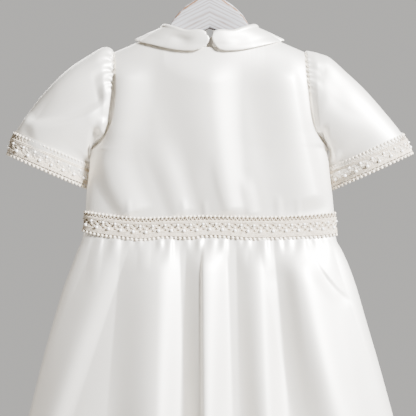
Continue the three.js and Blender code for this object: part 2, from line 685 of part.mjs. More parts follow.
add('bodice_front', bodicePanel(false, columnSpots(-1, 1)), satin);
add('bodice_back_left', bodiceBack(false), satin);
add('bodice_back_right', bodiceBack(true), satin);
add('collar_left', collarHalf(-1), satin);
add('collar_right', collarHalf(1), satin);
add('sleeve_left', sleeve(-1), satin);
add('sleeve_right', sleeve(1), satin);
add('cuff_lace_left', cuffLace(-1), lace);
add('cuff_lace_right', cuffLace(1), lace);
add('waist_lace', waistLace(), lace);
add('skirt_front', skirtHalf(false), satin);
add('skirt_back', skirtHalf(true), satin);
add('hanger_wood', hangerWood(), wood);
add('hanger_hook', hangerHook(), steel);
for (let i = 0; i < buttonCount; i += 1) {
  const z = firstButtonHeight - i * buttonPitch;
  const button = add(`back_button_${i + 1}`, buttonShape(), pearl);
  button.position.set(0, bodiceDepth(0, z, true) + seamGap * 2, z);
}

export default gown;
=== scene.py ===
import math

import bmesh
import bpy
import numpy as np
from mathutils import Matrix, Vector


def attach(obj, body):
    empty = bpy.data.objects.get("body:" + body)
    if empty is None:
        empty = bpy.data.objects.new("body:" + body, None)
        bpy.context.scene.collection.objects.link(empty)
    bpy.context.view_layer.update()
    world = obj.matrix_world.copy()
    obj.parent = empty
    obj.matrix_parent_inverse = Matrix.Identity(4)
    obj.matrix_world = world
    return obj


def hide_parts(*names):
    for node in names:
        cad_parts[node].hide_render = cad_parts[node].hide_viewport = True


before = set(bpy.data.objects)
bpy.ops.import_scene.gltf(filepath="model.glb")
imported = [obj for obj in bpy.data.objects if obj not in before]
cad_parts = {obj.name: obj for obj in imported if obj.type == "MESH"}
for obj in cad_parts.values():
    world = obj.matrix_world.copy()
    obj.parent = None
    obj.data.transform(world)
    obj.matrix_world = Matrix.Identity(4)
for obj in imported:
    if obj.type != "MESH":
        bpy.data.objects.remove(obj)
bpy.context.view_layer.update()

METRES = 0.001


def table(text):
    """A table's columns as arrays, by the names in its first line, in rising order of the first column."""
    names, *rows = [line.split() for line in text.strip().splitlines()]
    ordered = sorted((list(map(float, row)) for row in rows), key=lambda row: row[0])
    return {name: np.array(column) for name, column in zip(names, zip(*ordered))}


def each(source):
    """A table's rows, their values by column."""
    return [dict(zip(source, row)) for row in zip(*source.values())]


# Soft creases: each runs from one point to another, has a height (a trough's is negative), a width on its
# left and on its right, the share by which it widens, the shares over which its ends fade, and a sideways bow
CREASE_COLUMNS = "x z x_end z_end high left right widen fade_in fade_out bow".split()


def creases(text, widen=0, fade_in=0.5, fade_out=0.05, bow=0):
    """Creases, a line each. A line that stops early takes its last values from those given here."""
    usual = [widen, fade_in, fade_out, bow]
    rows = [list(map(float, line.split())) for line in text.strip().splitlines()]
    return [dict(zip(CREASE_COLUMNS, row + usual[len(row) - len(CREASE_COLUMNS):])) for row in rows]


# Heights
SHOULDER_NECK = -118.5
CHEST = -189
SHOULDER_TIP = -142
UNDERARM = -250
WAIST = -335
LACE_FOOT = -349.5
MIDDLE = -542
HEM = -900

# Neck and shoulders
NECK_HALF_WIDTH = 49
NECK_DEPTH = 28
NECK_DROP_FRONT = 21.1
NECK_DROP_BACK = 4
NECK_CURVE = 0.55
SHOULDER_SLOPE = 0.427
SIDE_ROUNDNESS = 2.6
SHOULDER_ROUNDNESS = 2.4
TOP_COLUMNS_SETTLED = 0.8

BODICE = table("""
    height left right depth edge
    -335 137.2 137.6 22 0
    -321 136.4 137 23 0
    -299 135.4 135 25 0
    -275 132.6 132 27 0
    -250 129.2 129.2 28 0
    -245 122.4 126 28.2 8
    -239 115.6 121 28.5 12.5
    -231 110.4 115.6 28.8 16
    -219 105.2 111.4 29 19
    -204 102.4 108.6 29 20.5
    -189 100.8 107 29 21
""")
SHOULDERS = table("""
    height left right
    -189 100.8 107
    -173 101 105
    -157 102 103.6
    -142 104 103.2
""")
SKIRT = table("""
    height left right depth
    -335 137.4 137.8 22
    -349.5 140.6 139.8 24
    -359 144.8 145 26
    -375 151 152.4 28.5
    -400 160.4 161.4 32
    -435 171 171.6 35.5
    -480 183.6 184.8 39.5
    -542 199 201.8 44.5
    -640 224 227 51.5
    -760 254 257 59.5
    -900 287 290 68
""")

# Folds of the skirt, rounded ridges with a valley between each and the next: the ridge's place at the waist,
# the middle and the hem, the widths of its flanks at the middle, its height there, how far it leans over its
# left flank, and where a short gather has died away (0: at the hem)
FRONT_FOLDS = table("""
    waist middle hem rise drop high over fade
    -121 -146 -180 12 10 2.2 0 -400
    -103 -172 -252 30 24 5.5 1 0
    -55 -57 -66 54 30 13 1 0
    -70 -72 -76 10 10 2 0 -384
    -3 -3 -2 29 28 12.5 3 0
    50 60 84 28 26 9.5 1.5 0
    36 36 38 9 8 1.6 0 -380
    97 148 216 58 46 14 5 0
    126 178 190 12 10 2.4 0 -396
""")
BACK_FOLDS = table("""
    waist middle hem rise drop high over fade
    -112 -156 -222 34 30 8.5 0 0
    -66 -78 -104 42 28 12 0 0
    -90 -98 -110 11 10 2.2 0 -388
    -14 -12 -8 32 27 12.5 2 0
    8 10 12 9 9 2 0 -382
    38 48 68 29 26 10.5 0 0
    88 118 168 38 32 12 1 0
    122 168 240 26 24 7 0 0
""")

# Sleeves, from the armhole along to the cuff: their top and their foot seen from the front, half their depth
# and how far the foot hangs back
LEFT_SLEEVE = table("""
    along top top_high under under_high depth back
    0 104 -142 128.2 -248.6 21 0
    0.08 112.7 -137.8 131.9 -250.6 24 2
    0.16 122 -139.6 132.9 -252.4 26 4.5
    0.26 135 -147.2 132.6 -255.2 27.5 8
    0.38 153.5 -159.6 131.6 -258 28 12
    0.5 172 -177 130.6 -260.4 27.5 14.5
    0.62 190 -196.4 130.6 -262.6 26 16
    0.78 213 -230 131.6 -266.5 23 18
    1 221.6 -256 135.8 -293.6 21.5 19
""")
RIGHT_SLEEVE = table("""
    along top top_high under under_high depth back
    0 103.2 -142 128.8 -248.6 21 0
    0.08 110.5 -142.6 131.9 -250.6 24 2
    0.16 119 -143.6 132.9 -252.6 26 4.5
    0.26 131.6 -148 132.6 -256 27.5 8
    0.38 149 -163.2 131.6 -259 28 12
    0.5 168.5 -181.4 130.6 -262 27.5 14.5
    0.62 188 -203 130.6 -265 26 16
    0.78 211.4 -232 131.4 -269.6 23 18
    1 222.4 -255 135.8 -294.6 21.5 19
""")
LACE_START = 0.78
CLOTH_END = 0.95
PUFF_START = 0.14
PUFF_FULLNESS = 0.9

# Collar, from the front to the back: the stand, and its outer edge and how far its ends bow in
COLLAR = table("""
    turn stand out low bow
    4 16.2 12 -142.4 6.6
    9 18 15.4 -143.2 3
    15 18.2 19 -143.6 0
    30 15.9 32 -142.8 0
    45 16 46.4 -140 0
    60 14.4 60.6 -136 0
    75 11 73.6 -131.8 0
    90 6.4 81 -128.3 0
    105 7.2 73.6 -131.6 0
    120 8 60.6 -135 0
    135 8.6 46.4 -138.8 0
    150 9 32 -141.2 0
    165 9.4 19 -142 0
    171 9.2 15.4 -141.6 3
    176 8 12 -140.6 6.6
""")
COLLAR_ROLL = 3.4
COLLAR_LIFT = 2.9
COLLAR_THICK = 1.9

PLACKET_HALF = 6
PLACKET_SINK = 2.1
FIRST_BUTTON = -152
BUTTON_PITCH = 38
BUTTON_COUNT = 5

HANGER_CROWN = table("""
    out high
    0 -78
    9 -80
    18 -85.6
    27 -92
    34 -98.6
    40 -106.6
    43.4 -113
    45.2 -118.6
    48 -123
""")
HANGER_END = 96
HANGER_PEAK = -78
HANGER_UNDER = -116
HANGER_UNDER_SLOPE = 0.42
HANGER_HALF_THICK = 5.5
HOOK_WIRE = 3.5
HOOK_INSIDE = 20

BODICE_CREASES = creases("""
    -104 -150 -118 -262 8.5 10 50 0 0.2 0.35
    -118 -222 -84 -322 4.8 26 40 -0.3 0.35 0.05 -8
    -62 -222 -30 -322 3 24 28 -0.3 0.6
    -6 -118 23 -324 7.4 74 46 -0.5 0.2 0.05 -6
    -2 -250 14 -322 -1.4 18 9 0 0.5 0.05 -3
    36 -274 45 -322 1.9 9 13
    84 -140 119 -316 6.4 52 18 0 0.2 0.1 -3
    -89 -300 -87 -324 0.7 5 5
    -29 -300 -27 -324 0.8 5 5
    -6 -302 -4 -324 0.8 5 5
    74 -296 76 -324 0.8 7 6
    96 -300 97 -324 0.7 6 5
""")
BODICE_BACK_CREASES = creases("""
    -58 -140 -76 -318 3.2 34 30 0 0.25 0.15 -3
    52 -140 66 -318 3.4 34 32 0 0.25 0.15 3
    100 -160 112 -312 3 26 18 0 0.2 0.2 2
    -102 -160 -114 -312 2.6 16 26 0 0.2 0.2 2
    -98 -286 -96 -324 0.9 7 6
    -56 -280 -54 -324 1.2 8 7
    -26 -288 -24 -324 0.9 6 6
    30 -284 31 -324 1.2 7 6
    62 -288 64 -324 0.9 7 6
    92 -288 94 -324 1 6 7
""")

# Mostly gathers that spring from under the waist lace
SKIRT_FRONT_CREASES = creases("""
    -128 -338 -138 -366 1.8 5 3 1.4
    -116 -338 -124 -372 2.4 7 3 1.2
    -101 -338 -106 -378 3 7 7 0.9
    -86 -340 -88 -362 1.2 4 4
    -76 -340 -76 -364 1.4 4 4
    -54 -341 -53 -366 2.6 5 4 0.8 0.06 0.7 1
    -42 -341 -43 -384 2.4 8 4 0.6
    -24 -342 -24 -366 1.4 5 4
    -9 -342 -8 -366 2.6 5 5 0.6 0.06 0.8 -2
    4 -342 4 -368 1.8 6 7 0.6
    16 -342 15 -376 2.2 7 5 0.6
    32 -342 32 -360 1.1 5 4
    42 -342 41 -364 1.5 5 4
    60 -342 60 -378 2.6 9 5 0.6
    74 -342 77 -368 1.7 5 4 1 0.06 0.8 1
    86 -342 90 -364 1.3 5 4 1
    102 -342 107 -372 2.4 8 4 1
    112 -340 121 -366 1.8 4 4 1 0.06 0.8 1
    124 -340 136 -372 2.4 6 5 1 0.06 0.8 2
    72 -354 88 -620 -3.6 18 24 0.3 0.15 0.5
    102 -356 146 -620 3.6 26 24 0.3 0.15 0.5
    111 -358 158 -419 -3 13 4 0.3 0.5 0.2 -7
    -4 -348 -3 -900 3.4 4 26 0.8 0.05 0.1
""", widen=0.8, fade_in=0.06, fade_out=0.8)
SKIRT_BACK_CREASES = creases("""
    -126 -340 -136 -370 1.8 5 4
    -106 -340 -111 -372 2.4 7 4
    -80 -340 -83 -368 1.8 5 4
    -60 -340 -61 -374 2.4 7 4
    -40 -340 -40 -362 1.4 5 4
    -24 -340 -24 -366 1.8 5 4
    -6 -340 -6 -376 2.4 7 5
    24 -340 25 -364 1.6 5 4
    44 -340 45 -376 2.4 7 4
    64 -340 67 -364 1.6 5 4
    92 -340 98 -374 2.4 7 4
    110 -340 118 -366 1.6 5 4
    126 -340 136 -370 2 5 4
""", widen=1, fade_in=0.06, fade_out=0.8)

# Creases of the sleeves, seen from the front, outside the gathers of their caps
LEFT_SLEEVE_CREASES = creases("""
    -111 -190 -204 -212 -5.2 34 10 0 0.12 0.1 9
    -116 -206 -202 -226 3 10 26 0 0.2 0.15 8
    -110 -150 -190 -190 2 14 26 0 0.15 0.3 -3
    -112 -214 -118 -236 2.6 9 7 0 0.4 0.3 -2
    -123 -222 -127 -260 -5 8 7 0.4 0.3 0.2
""", fade_in=0.2, fade_out=0.1)
RIGHT_SLEEVE_CREASES = creases("""
    112 -160 156 -206 -1.8 14 18 0.6 0.2 0.6 4
    116 -196 170 -236 1.6 20 16 0.4 0.2 0.5 -6
    124 -218 133 -262 -4.2 9 9 0 0.4 0.3 -5
    140 -246 137 -266 1.6 8 7 0 0.5 0.4
""", fade_in=0.2, fade_out=0.1)
BACK_SLEEVE_CREASES = creases("""
    118 -196 190 -218 -3 20 16 0 0.2 0.3 -5
    124 -222 131 -260 -3.6 8 8 0 0.4 0.3 3
    116 -158 168 -186 1.6 12 16 0 0.3 0.5 3
""", fade_in=0.2, fade_out=0.3)

# Gathers of a sleeve's cap: how far down from the shoulder, depth, half width, and how far they reach
LEFT_CAP = table("""
    down deep half reach
    0.05 2.6 0.03 0.16
    0.115 3.4 0.03 0.2
    0.165 2 0.022 0.12
    0.22 4.4 0.032 0.26
    0.285 2.4 0.022 0.14
    0.335 3.6 0.028 0.22
    0.39 2 0.022 0.14
""")
RIGHT_CAP = table("""
    down deep half reach
    0.05 2 0.028 0.12
    0.115 2.8 0.028 0.15
    0.165 3.8 0.026 0.2
    0.215 3.2 0.024 0.17
    0.265 3.6 0.026 0.22
    0.32 2.2 0.024 0.14
    0.375 2 0.024 0.13
""")


def lerp(a, b, share):
    return a + (b - a) * share


def smoothstep(value, low, high):
    t = np.clip((value - low) / (high - low), 0, 1)
    return t * t * (3 - 2 * t)


def side_of(x):
    return np.where(x < 0, -1, 1)


def unit(vectors):
    return vectors / np.maximum(np.linalg.norm(vectors, axis=-1, keepdims=True), 1e-9)


def full_turn(count):
    """Angles evenly round a circle."""
    return np.arange(count) * 2 * np.pi / count


def spread(*values):
    """Numbers and arrays as arrays of one shape."""
    return np.broadcast_arrays(*(np.asarray(value, float) for value in values))


def lengths_along(line):
    return np.concatenate([[0], np.cumsum(np.linalg.norm(np.diff(line, axis=0), axis=-1))])


def read(source, place, column):
    """Smooth value of a table's column at places along its first column."""
    keys = source[next(iter(source))]
    values = source[column]
    slopes = np.empty(len(keys))
    slopes[1:-1] = (values[2:] - values[:-2]) / (keys[2:] - keys[:-2])
    slopes[0] = (values[1] - values[0]) / (keys[1] - keys[0])
    slopes[-1] = (values[-1] - values[-2]) / (keys[-1] - keys[-2])
    return smooth_through(keys, values, slopes, np.clip(place, keys[0], keys[-1]))


def smooth_through(keys, values, slopes, spot):
    """A smooth curve through values at keys, with the slopes given, read at the spots."""
    i = np.clip(np.searchsorted(keys, spot, side="right") - 1, 0, len(keys) - 2)
    step = keys[i + 1] - keys[i]
    s = (spot - keys[i]) / step
    level = (1 + 2 * s) * (1 - s) ** 2 * values[i] + s * s * (3 - 2 * s) * values[i + 1]
    return level + s * (1 - s) * step * ((1 - s) * slopes[i] - s * slopes[i + 1])


def on_side(source, side, z):
    """A table's left or right column, by the side."""
    return np.where(side < 0, read(source, z, "left"), read(source, z, "right"))


def relief(rows, x, z):
    """How far creases lift the cloth at x and z."""
    total = np.zeros(np.broadcast(x, z).shape)
    for row in rows:
        dx, dz = row["x_end"] - row["x"], row["z_end"] - row["z"]
        length = math.hypot(dx, dz)
        share = ((x - row["x"]) * dx + (z - row["z"]) * dz) / length**2
        inside = np.clip(share, 0, 1)
        off = ((z - row["z"]) * dx - (x - row["x"]) * dz) / length - row["bow"] * 4 * inside * (1 - inside)
        width = np.where(off < 0, row["left"], row["right"]) * (1 + row["widen"] * inside)
        across = 0.5 + 0.5 * np.cos(np.pi * np.clip(off / width, -1, 1))
        ends = smoothstep(share, 0, row["fade_in"]) * smoothstep(1 - share, 0, row["fade_out"])
        total += row["high"] * across * ends
    return total


# Form of the bodice

UNDERARM_EASE = (-16, -8, 0, 8, 16)
NECK_EASE = (-10, -5, 0, 5, 10)
EASED_SHARE = 0.93
LEFT_ARMHOLE_HOLD = 0.35


def half_width(side, z):
    return np.where(z > CHEST, on_side(SHOULDERS, side, z), on_side(BODICE, side, z))


def top_height(x, back):
    away = np.abs(x)
    drop = NECK_DROP_BACK if back else NECK_DROP_FRONT
    neck = SHOULDER_NECK - drop * np.clip(1 - (away / NECK_HALF_WIDTH) ** 2, 0, None) ** NECK_CURVE
    return np.where(away >= NECK_HALF_WIDTH, SHOULDER_NECK - (away - NECK_HALF_WIDTH) * SHOULDER_SLOPE, neck)


def bodice_depth(x, z, back):
    """How far the plain bodice stands before, or behind, the middle plane."""
    level = np.minimum(z, CHEST)
    depth = read(BODICE, level, "depth")
    edge = np.where(level <= UNDERARM, 0, read(BODICE, level, "edge"))
    shrink = (1 - (edge / depth) ** 2) ** (1 / SIDE_ROUNDNESS)
    across = np.abs(x) / half_width(side_of(x), level)
    low = depth * np.sqrt(np.clip(1 - (shrink * across) ** SIDE_ROUNDNESS, 0, None))
    rise = np.clip((z - CHEST) / (top_height(x, back) - CHEST), 0, 1)
    high = NECK_DEPTH * np.sqrt(np.clip(1 - (x / NECK_HALF_WIDTH) ** 2, 0, None))
    return high + (low - high) * np.sqrt(1 - rise**SHOULDER_ROUNDNESS)


def depth_at(x, z, back):
    """The plain bodice's depth at one place."""
    return float(bodice_depth(np.array(float(x)), np.array(float(z)), back))


def top_at(x, back):
    return float(top_height(np.array(float(x)), back))


def mean_depth(places, back):
    return sum(bodice_depth(x, z, back) for x, z in places) / len(places)


def even_depth(x, z, back):
    """The plain bodice, eased over the underarm's level, where its outline turns in, and beside the neck."""
    plain = bodice_depth(x, z, back)
    eased = mean_depth([(x, z + step) for step in UNDERARM_EASE], back)
    middle = smoothstep(EASED_SHARE - np.abs(x) / half_width(side_of(x), z), 0, 0.2)
    near = smoothstep(z, UNDERARM - 50, UNDERARM - 22) * smoothstep(-z, -UNDERARM - 54, -UNDERARM - 28)
    plain = lerp(plain, eased, middle * near)
    beside = mean_depth([(x + step, z) for step in NECK_EASE], back)
    at_corner = 1 - smoothstep(np.abs(np.abs(x) - NECK_HALF_WIDTH), 8, 22)
    return lerp(plain, beside, at_corner * smoothstep(top_height(x, back) - z, 8, 18))


def bodice_relief(x, z, back):
    """Creases of the bodice, which die away at its seams and under the collar."""
    held = (x < 0) & (not back) & (z > UNDERARM)
    to_seam = np.clip(np.abs(x) / half_width(side_of(x), z), 0, 1) ** 12
    inner = 1 - to_seam * np.where(held, LEFT_ARMHOLE_HOLD, 1)
    below_top = smoothstep(top_height(x, back) - z, 4, 40)
    above_waist = smoothstep(z, WAIST, WAIST + 12)
    return relief(BODICE_BACK_CREASES if back else BODICE_CREASES, x, z) * inner * below_top * above_waist


def bodice_line(x, z, back, off=0.0):
    """Places on the bodice with its creases, or off it."""
    x, z = spread(x, z)
    y = bodice_depth(x, z, back) + bodice_relief(x, z, back) + off
    return np.stack([x, y if back else -y, z], axis=-1)


def bodice_points(t, v, back):
    """A bodice side: t across from -1 to 1, v up from 0 at the waist, by 1 at the chest, to 2 at the top."""
    side = side_of(t)
    even = np.sin(t * np.pi / 2)
    turn = np.minimum(2 * np.abs(t), 1) * np.pi / 2
    past = np.clip(2 * np.abs(t) - 1, 0, 1)
    tip = half_width(side, SHOULDER_TIP)
    high = side * lerp(NECK_HALF_WIDTH * np.sin(turn), tip, past) / tip
    rise = np.clip(v - 1, 0, 1)
    share = lerp(even, high, np.minimum(1, rise / TOP_COLUMNS_SETTLED))
    low_z = lerp(WAIST, CHEST, np.clip(v, 0, 1))
    edge_z = np.where(v > 1, lerp(CHEST, SHOULDER_TIP, rise), low_z)
    x = share * half_width(side, edge_z)
    z = np.where(v > 1, lerp(CHEST, top_height(x, back), rise), low_z)
    y = even_depth(x, z, back) + bodice_relief(x, z, back)
    return np.stack([x, y if back else -y, z], axis=-1)


# Mesh helpers


def grid_faces(rows, cols, ring=False):
    r, c = np.meshgrid(np.arange(rows - 1), np.arange(cols if ring else cols - 1), indexing="ij")
    here, beside = r * cols + c, r * cols + (c + 1) % cols
    return np.stack([here, beside, beside + cols, here + cols], -1).reshape(-1, 4)


def grid_normals(grid, ring=False):
    across = np.gradient(grid, axis=1)
    if ring:
        across = (np.roll(grid, -1, axis=1) - np.roll(grid, 1, axis=1)) / 2
    return unit(np.cross(across, np.gradient(grid, axis=0)))


def grid_uv(grid):
    """The cloth's own measures in metres, across and down, so that its weave keeps its size."""
    across = np.linalg.norm(np.diff(grid, axis=1), axis=-1)
    down = np.linalg.norm(np.diff(grid, axis=0), axis=-1).mean(axis=1)
    u = np.pad(np.cumsum(across, axis=1), ((0, 0), (1, 0)))
    u -= u[:, u.shape[1] // 2][:, None]
    v = np.pad(np.cumsum(down), (1, 0))
    return np.stack([u, np.broadcast_to(v[:, None], u.shape)], axis=-1) * METRES


def add_object(name, data):
    thing = bpy.data.objects.new(name, data)
    bpy.context.scene.collection.objects.link(thing)
    return thing


class Build:
    """Gathers grids, tubes and beads into one mesh."""

    def __init__(self):
        self.points, self.faces, self.uv, self.wear, self.count = [], [], [], [], 0

    def add(self, points, faces, uv=None, wear=None):
        points = np.asarray(points, float).reshape(-1, 3)
        self.points.append(points)
        self.faces.extend((np.asarray(faces) + self.count).tolist())
        self.uv.append(points[:, [0, 2]] * METRES if uv is None else uv.reshape(-1, 2))
        self.wear.append(np.zeros(len(points)) if wear is None else wear.ravel())
        self.count += len(points)

    def grid(self, grid, ring=False, flip=False, wear=None):
        faces = grid_faces(grid.shape[0], grid.shape[1], ring)
        self.add(grid, faces[:, ::-1] if flip else faces, grid_uv(grid), wear)

    def piece(self, name, node, slot, material, weld=False):
        """The mesh as a piece of the scene, in place of a node of the CAD."""
        mesh = bpy.data.meshes.new(name)
        mesh.from_pydata((np.concatenate(self.points) * METRES).tolist(), [], self.faces)
        loops = np.empty(len(mesh.loops), dtype=np.int32)
        mesh.loops.foreach_get("vertex_index", loops)
        layer = mesh.uv_layers.new(name="cloth")
        layer.data.foreach_set("uv", np.concatenate(self.uv)[loops].ravel())
        wear = mesh.attributes.new("wear", "FLOAT", "POINT")
        wear.data.foreach_set("value", np.concatenate(self.wear))
        mesh.polygons.foreach_set("use_smooth", np.ones(len(mesh.polygons), dtype=bool))
        mesh.materials.append(material)
        if weld:
            work = bmesh.new()
            work.from_mesh(mesh)
            bmesh.ops.remove_doubles(work, verts=work.verts, dist=0.00001)
            work.to_mesh(mesh)
            work.free()
        mesh.update()
        thing = add_object(name, mesh)
        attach(thing, "root")
        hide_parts(node)
        return thing


def tubes(build, lines, normals, radius, sides=5):
    """Threads of one radius along lines, an array of threads by points by 3."""
    ahead = unit(np.gradient(lines, axis=1))
    beside = unit(np.cross(ahead, normals))
    up = np.cross(beside, ahead)
    angle = full_turn(sides)
    ring = np.cos(angle)[:, None] * beside[..., None, :] + np.sin(angle)[:, None] * up[..., None, :]
    size = np.broadcast_to(radius, lines.shape[:2])[..., None, None]
    rings = lines[..., None, :] + size * ring
    count, length = lines.shape[:2]
    one = grid_faces(length, sides, True)
    faces = (one[None] + (np.arange(count) * length * sides)[:, None, None]).reshape(-1, 4)
    build.add(rings, faces)


def beads(build, centres, normals, radius, flat=1.0, around=10, bands=6):
    """Small round beads or knots, flattened along their normals by the share given."""
    normals = normals / np.linalg.norm(normals, axis=-1, keepdims=True)
    aside = unit(np.cross(normals, [0.0, 0.0, 1.0]))
    other = np.cross(normals, aside)
    lat = np.linspace(-np.pi / 2, np.pi / 2, bands + 1)[1:-1]
    lon = full_turn(around)
    ball = np.stack([np.cos(lat)[:, None] * np.cos(lon), np.cos(lat)[:, None] * np.sin(lon),
                     np.sin(lat)[:, None] * np.ones(around) * flat], axis=-1).reshape(-1, 3)
    ball = np.concatenate([ball, [[0, 0, -flat], [0, 0, flat]]])
    belt = grid_faces(bands - 1, around, True)
    last = (bands - 1) * around
    spin = np.arange(around)
    beside = (spin + 1) % around
    low_cap = np.stack([np.full(around, last), beside, spin], -1)
    high_cap = np.stack([np.full(around, last + 1), spin + last - around, beside + last - around], -1)
    caps = np.concatenate([low_cap, high_cap])
    axes = np.stack([aside, other, normals], axis=1)
    points = centres[:, None, :] + radius * np.einsum("pk,nkc->npc", ball, axes)
    start = build.count
    build.add(points, np.zeros((0, 4), int))
    for base in start + np.arange(len(centres)) * len(ball):
        build.faces.extend((belt + base).tolist() + (caps + base).tolist())


# Materials


class Shading:
    """Textures wired by procedure into one shader of a material or of the world."""

    def __init__(self, owner, surface, **settings):
        owner.use_nodes = True
        self.owner, self.nodes, self.links = owner, owner.node_tree.nodes, owner.node_tree.links
        self.surface = self.nodes[surface]
        for key, value in settings.items():
            self.surface.inputs[key.replace("_", " ")].default_value = value

    def node(self, kind, feeds, out, **settings):
        """One output of a new node: feeds says what its inputs take, a socket or a fixed value."""
        made = self.nodes.new("ShaderNode" + kind)
        for key, value in settings.items():
            setattr(made, key, value)
        for key, source in feeds.items():
            if isinstance(source, bpy.types.NodeSocket):
                self.links.new(source, made.inputs[key])
            else:
                made.inputs[key].default_value = source
        return made.outputs[out]

    def feed(self, name, source):
        self.links.new(source, self.surface.inputs[name])

    def noise(self, place, scale, detail=2.0, **more):
        return self.node("TexNoise", {"Vector": place, "Scale": scale, "Detail": detail, **more}, "Fac")

    def waves(self, place, scale, direction="DIAGONAL", **more):
        return self.node("TexWave", {"Vector": place, "Scale": scale, **more}, "Fac",
                         wave_type="BANDS", bands_direction=direction)

    def sum_of(self, source, share, rest):
        """Share of a value, and the rest added."""
        return self.node("Math", {0: source, 1: share, 2: rest}, 0, operation="MULTIPLY_ADD")

    def product(self, one, other):
        return self.node("Math", {0: one, 1: other}, 0, operation="MULTIPLY")

    def ramp(self, factor, *stops):
        colour = self.node("ValToRGB", {"Fac": factor}, "Color")
        shades = colour.node.color_ramp.elements
        shades[0].position, shades[0].color = stops[0][0], (*stops[0][1], 1)
        shades[1].position, shades[1].color = stops[-1][0], (*stops[-1][1], 1)
        for place, shade in stops[1:-1]:
            shades.new(place).color = (*shade, 1)
        return colour

    def range(self, value, low, high):
        return self.node("MapRange", {"Value": value, "To Min": low, "To Max": high}, "Result")

    def bump(self, height, strength, distance):
        feeds = {"Height": height, "Strength": strength, "Distance": distance}
        self.feed("Normal", self.node("Bump", feeds, "Normal"))

    def place(self):
        return self.node("TexCoord", {}, "Object")

    def cloth(self):
        return self.node("UVMap", {}, "UV", uv_map="cloth")


def material(name, **settings):
    return Shading(bpy.data.materials.new(name), "Principled BSDF", **settings)


SATIN_THREAD = 0.00045


def satin():
    """Duchess satin: smooth, close threads, a soft broad shine and a faint unevenness of tone."""
    paint = material("satin", Metallic=0.42, Sheen_Weight=0.12, Sheen_Roughness=0.4)
    cloth = paint.cloth()
    tone = paint.noise(cloth, 14.0, 3.0)
    paint.feed("Base Color", paint.ramp(tone, (0.3, (0.9, 0.855, 0.78)), (0.7, (0.94, 0.9, 0.83))))
    slub = paint.node("Mapping", {"Vector": cloth, "Scale": (60, 900, 1)}, "Vector")
    twill = paint.waves(cloth, 0.314 / SATIN_THREAD)
    both = paint.node("Math", {0: paint.noise(slub, 1.0), 1: twill}, 0, operation="ADD")
    paint.bump(both, 0.12, 0.00012)
    paint.feed("Roughness", paint.range(tone, 0.44, 0.5))
    return paint.owner


def cotton(name, light, dark, scale, roughness):
    """Matt cotton thread with the twist of its plies showing."""
    paint = material(name, Roughness=roughness, Sheen_Weight=0.1)
    place = paint.place()
    paint.feed("Base Color", paint.ramp(paint.noise(place, scale, 4.0), (0.3, dark), (0.7, light)))
    paint.bump(paint.waves(place, 700.0, Distortion=2.0), 0.35, 0.0001)
    return paint.owner


def net():
    """Fine dense net under the lace's threads, coloured dark warm brown as painted shade for the gaps between
    the threads.
    """
    paint = material("net", Roughness=0.85)
    mesh = paint.node("TexVoronoi", {"Vector": paint.cloth(), "Scale": 1400.0}, "Distance")
    # Painted shade: these dark browns stand for the shadow that falls between the lace's threads
    paint.feed("Base Color", paint.ramp(mesh, (0.05, (0.46, 0.38, 0.28)), (0.6, (0.26, 0.2, 0.135))))
    paint.bump(mesh, 0.6, 0.0002)
    return paint.owner


def pearl():
    """Small glass pearls: a warm white with a soft bright shine that shifts a little."""
    paint = material("pearl", Roughness=0.22, Coat_Weight=0.4, Coat_Roughness=0.15)
    tone = paint.noise(paint.place(), 260.0)
    paint.feed("Base Color", paint.ramp(tone, (0.35, (0.9, 0.86, 0.8)), (0.65, (0.97, 0.95, 0.92))))
    return paint.owner


WORN_BROWN = (0.17, 0.08, 0.035, 1)


def wood():
    """White-washed wood: grey-brown grain that falls outward from the middle, brown where edges are worn."""
    paint = material("white_washed_wood", Roughness=0.75)
    place = paint.place()
    x = paint.node("SeparateXYZ", {"Vector": place}, "X")
    y, z = x.node.outputs["Y"], x.node.outputs["Z"]
    away = paint.node("Math", {0: x}, 0, operation="ABSOLUTE")
    run = {"X": paint.product(away, 0.12), "Y": y, "Z": paint.sum_of(away, 0.5, z)}
    grain_place = paint.node("CombineXYZ", run, "Vector")
    grain = paint.noise(grain_place, 420.0, 5.0, Roughness=0.6)
    bands = paint.waves(grain_place, 70.0, "Z", Distortion=7.0, Detail=3.0, **{"Detail Scale": 1.5})
    both = paint.sum_of(grain, 0.55, paint.product(bands, 0.5))
    wash = paint.ramp(both, (0.14, (0.17, 0.12, 0.1)), (0.34, (0.25, 0.22, 0.215)),
                      (0.5, (0.3, 0.292, 0.305)), (0.8, (0.34, 0.338, 0.355)))
    wear = paint.node("Attribute", {}, "Fac", attribute_name="wear")
    patchy = paint.product(wear, paint.noise(place, 160.0, 4.0))
    worn = paint.ramp(patchy, (0.3, (0, 0, 0)), (0.42, (1, 1, 1)))
    paint.feed("Base Color", paint.node("Mix", {"Factor": worn, 6: wash, 7: WORN_BROWN}, 2, data_type="RGBA"))
    paint.bump(both, 0.5, 0.0003)
    return paint.owner


def steel():
    """Drawn steel wire: bright, with a few duller patches."""
    paint = material("steel_wire", Metallic=1.0)
    patches = paint.noise(paint.place(), 90.0, 5.0)
    paint.feed("Base Color", paint.ramp(patches, (0.3, (0.5, 0.5, 0.5)), (0.7, (0.72, 0.73, 0.74))))
    paint.feed("Roughness", paint.range(patches, 0.42, 0.2))
    return paint.owner


SATIN = satin()
THREAD = cotton("lace_thread", (0.76, 0.68, 0.56), (0.58, 0.49, 0.38), 300.0, 0.75)
KNOTS = cotton("lace_knots", (0.89, 0.82, 0.71), (0.75, 0.66, 0.54), 200.0, 0.55)
SEWING = cotton("sewing_thread", (0.9, 0.88, 0.84), (0.8, 0.77, 0.71), 400.0, 0.6)
NET_PAINTED_SHADE = net()
PEARL = pearl()
WOOD = wood()
STEEL = steel()


# Bodice

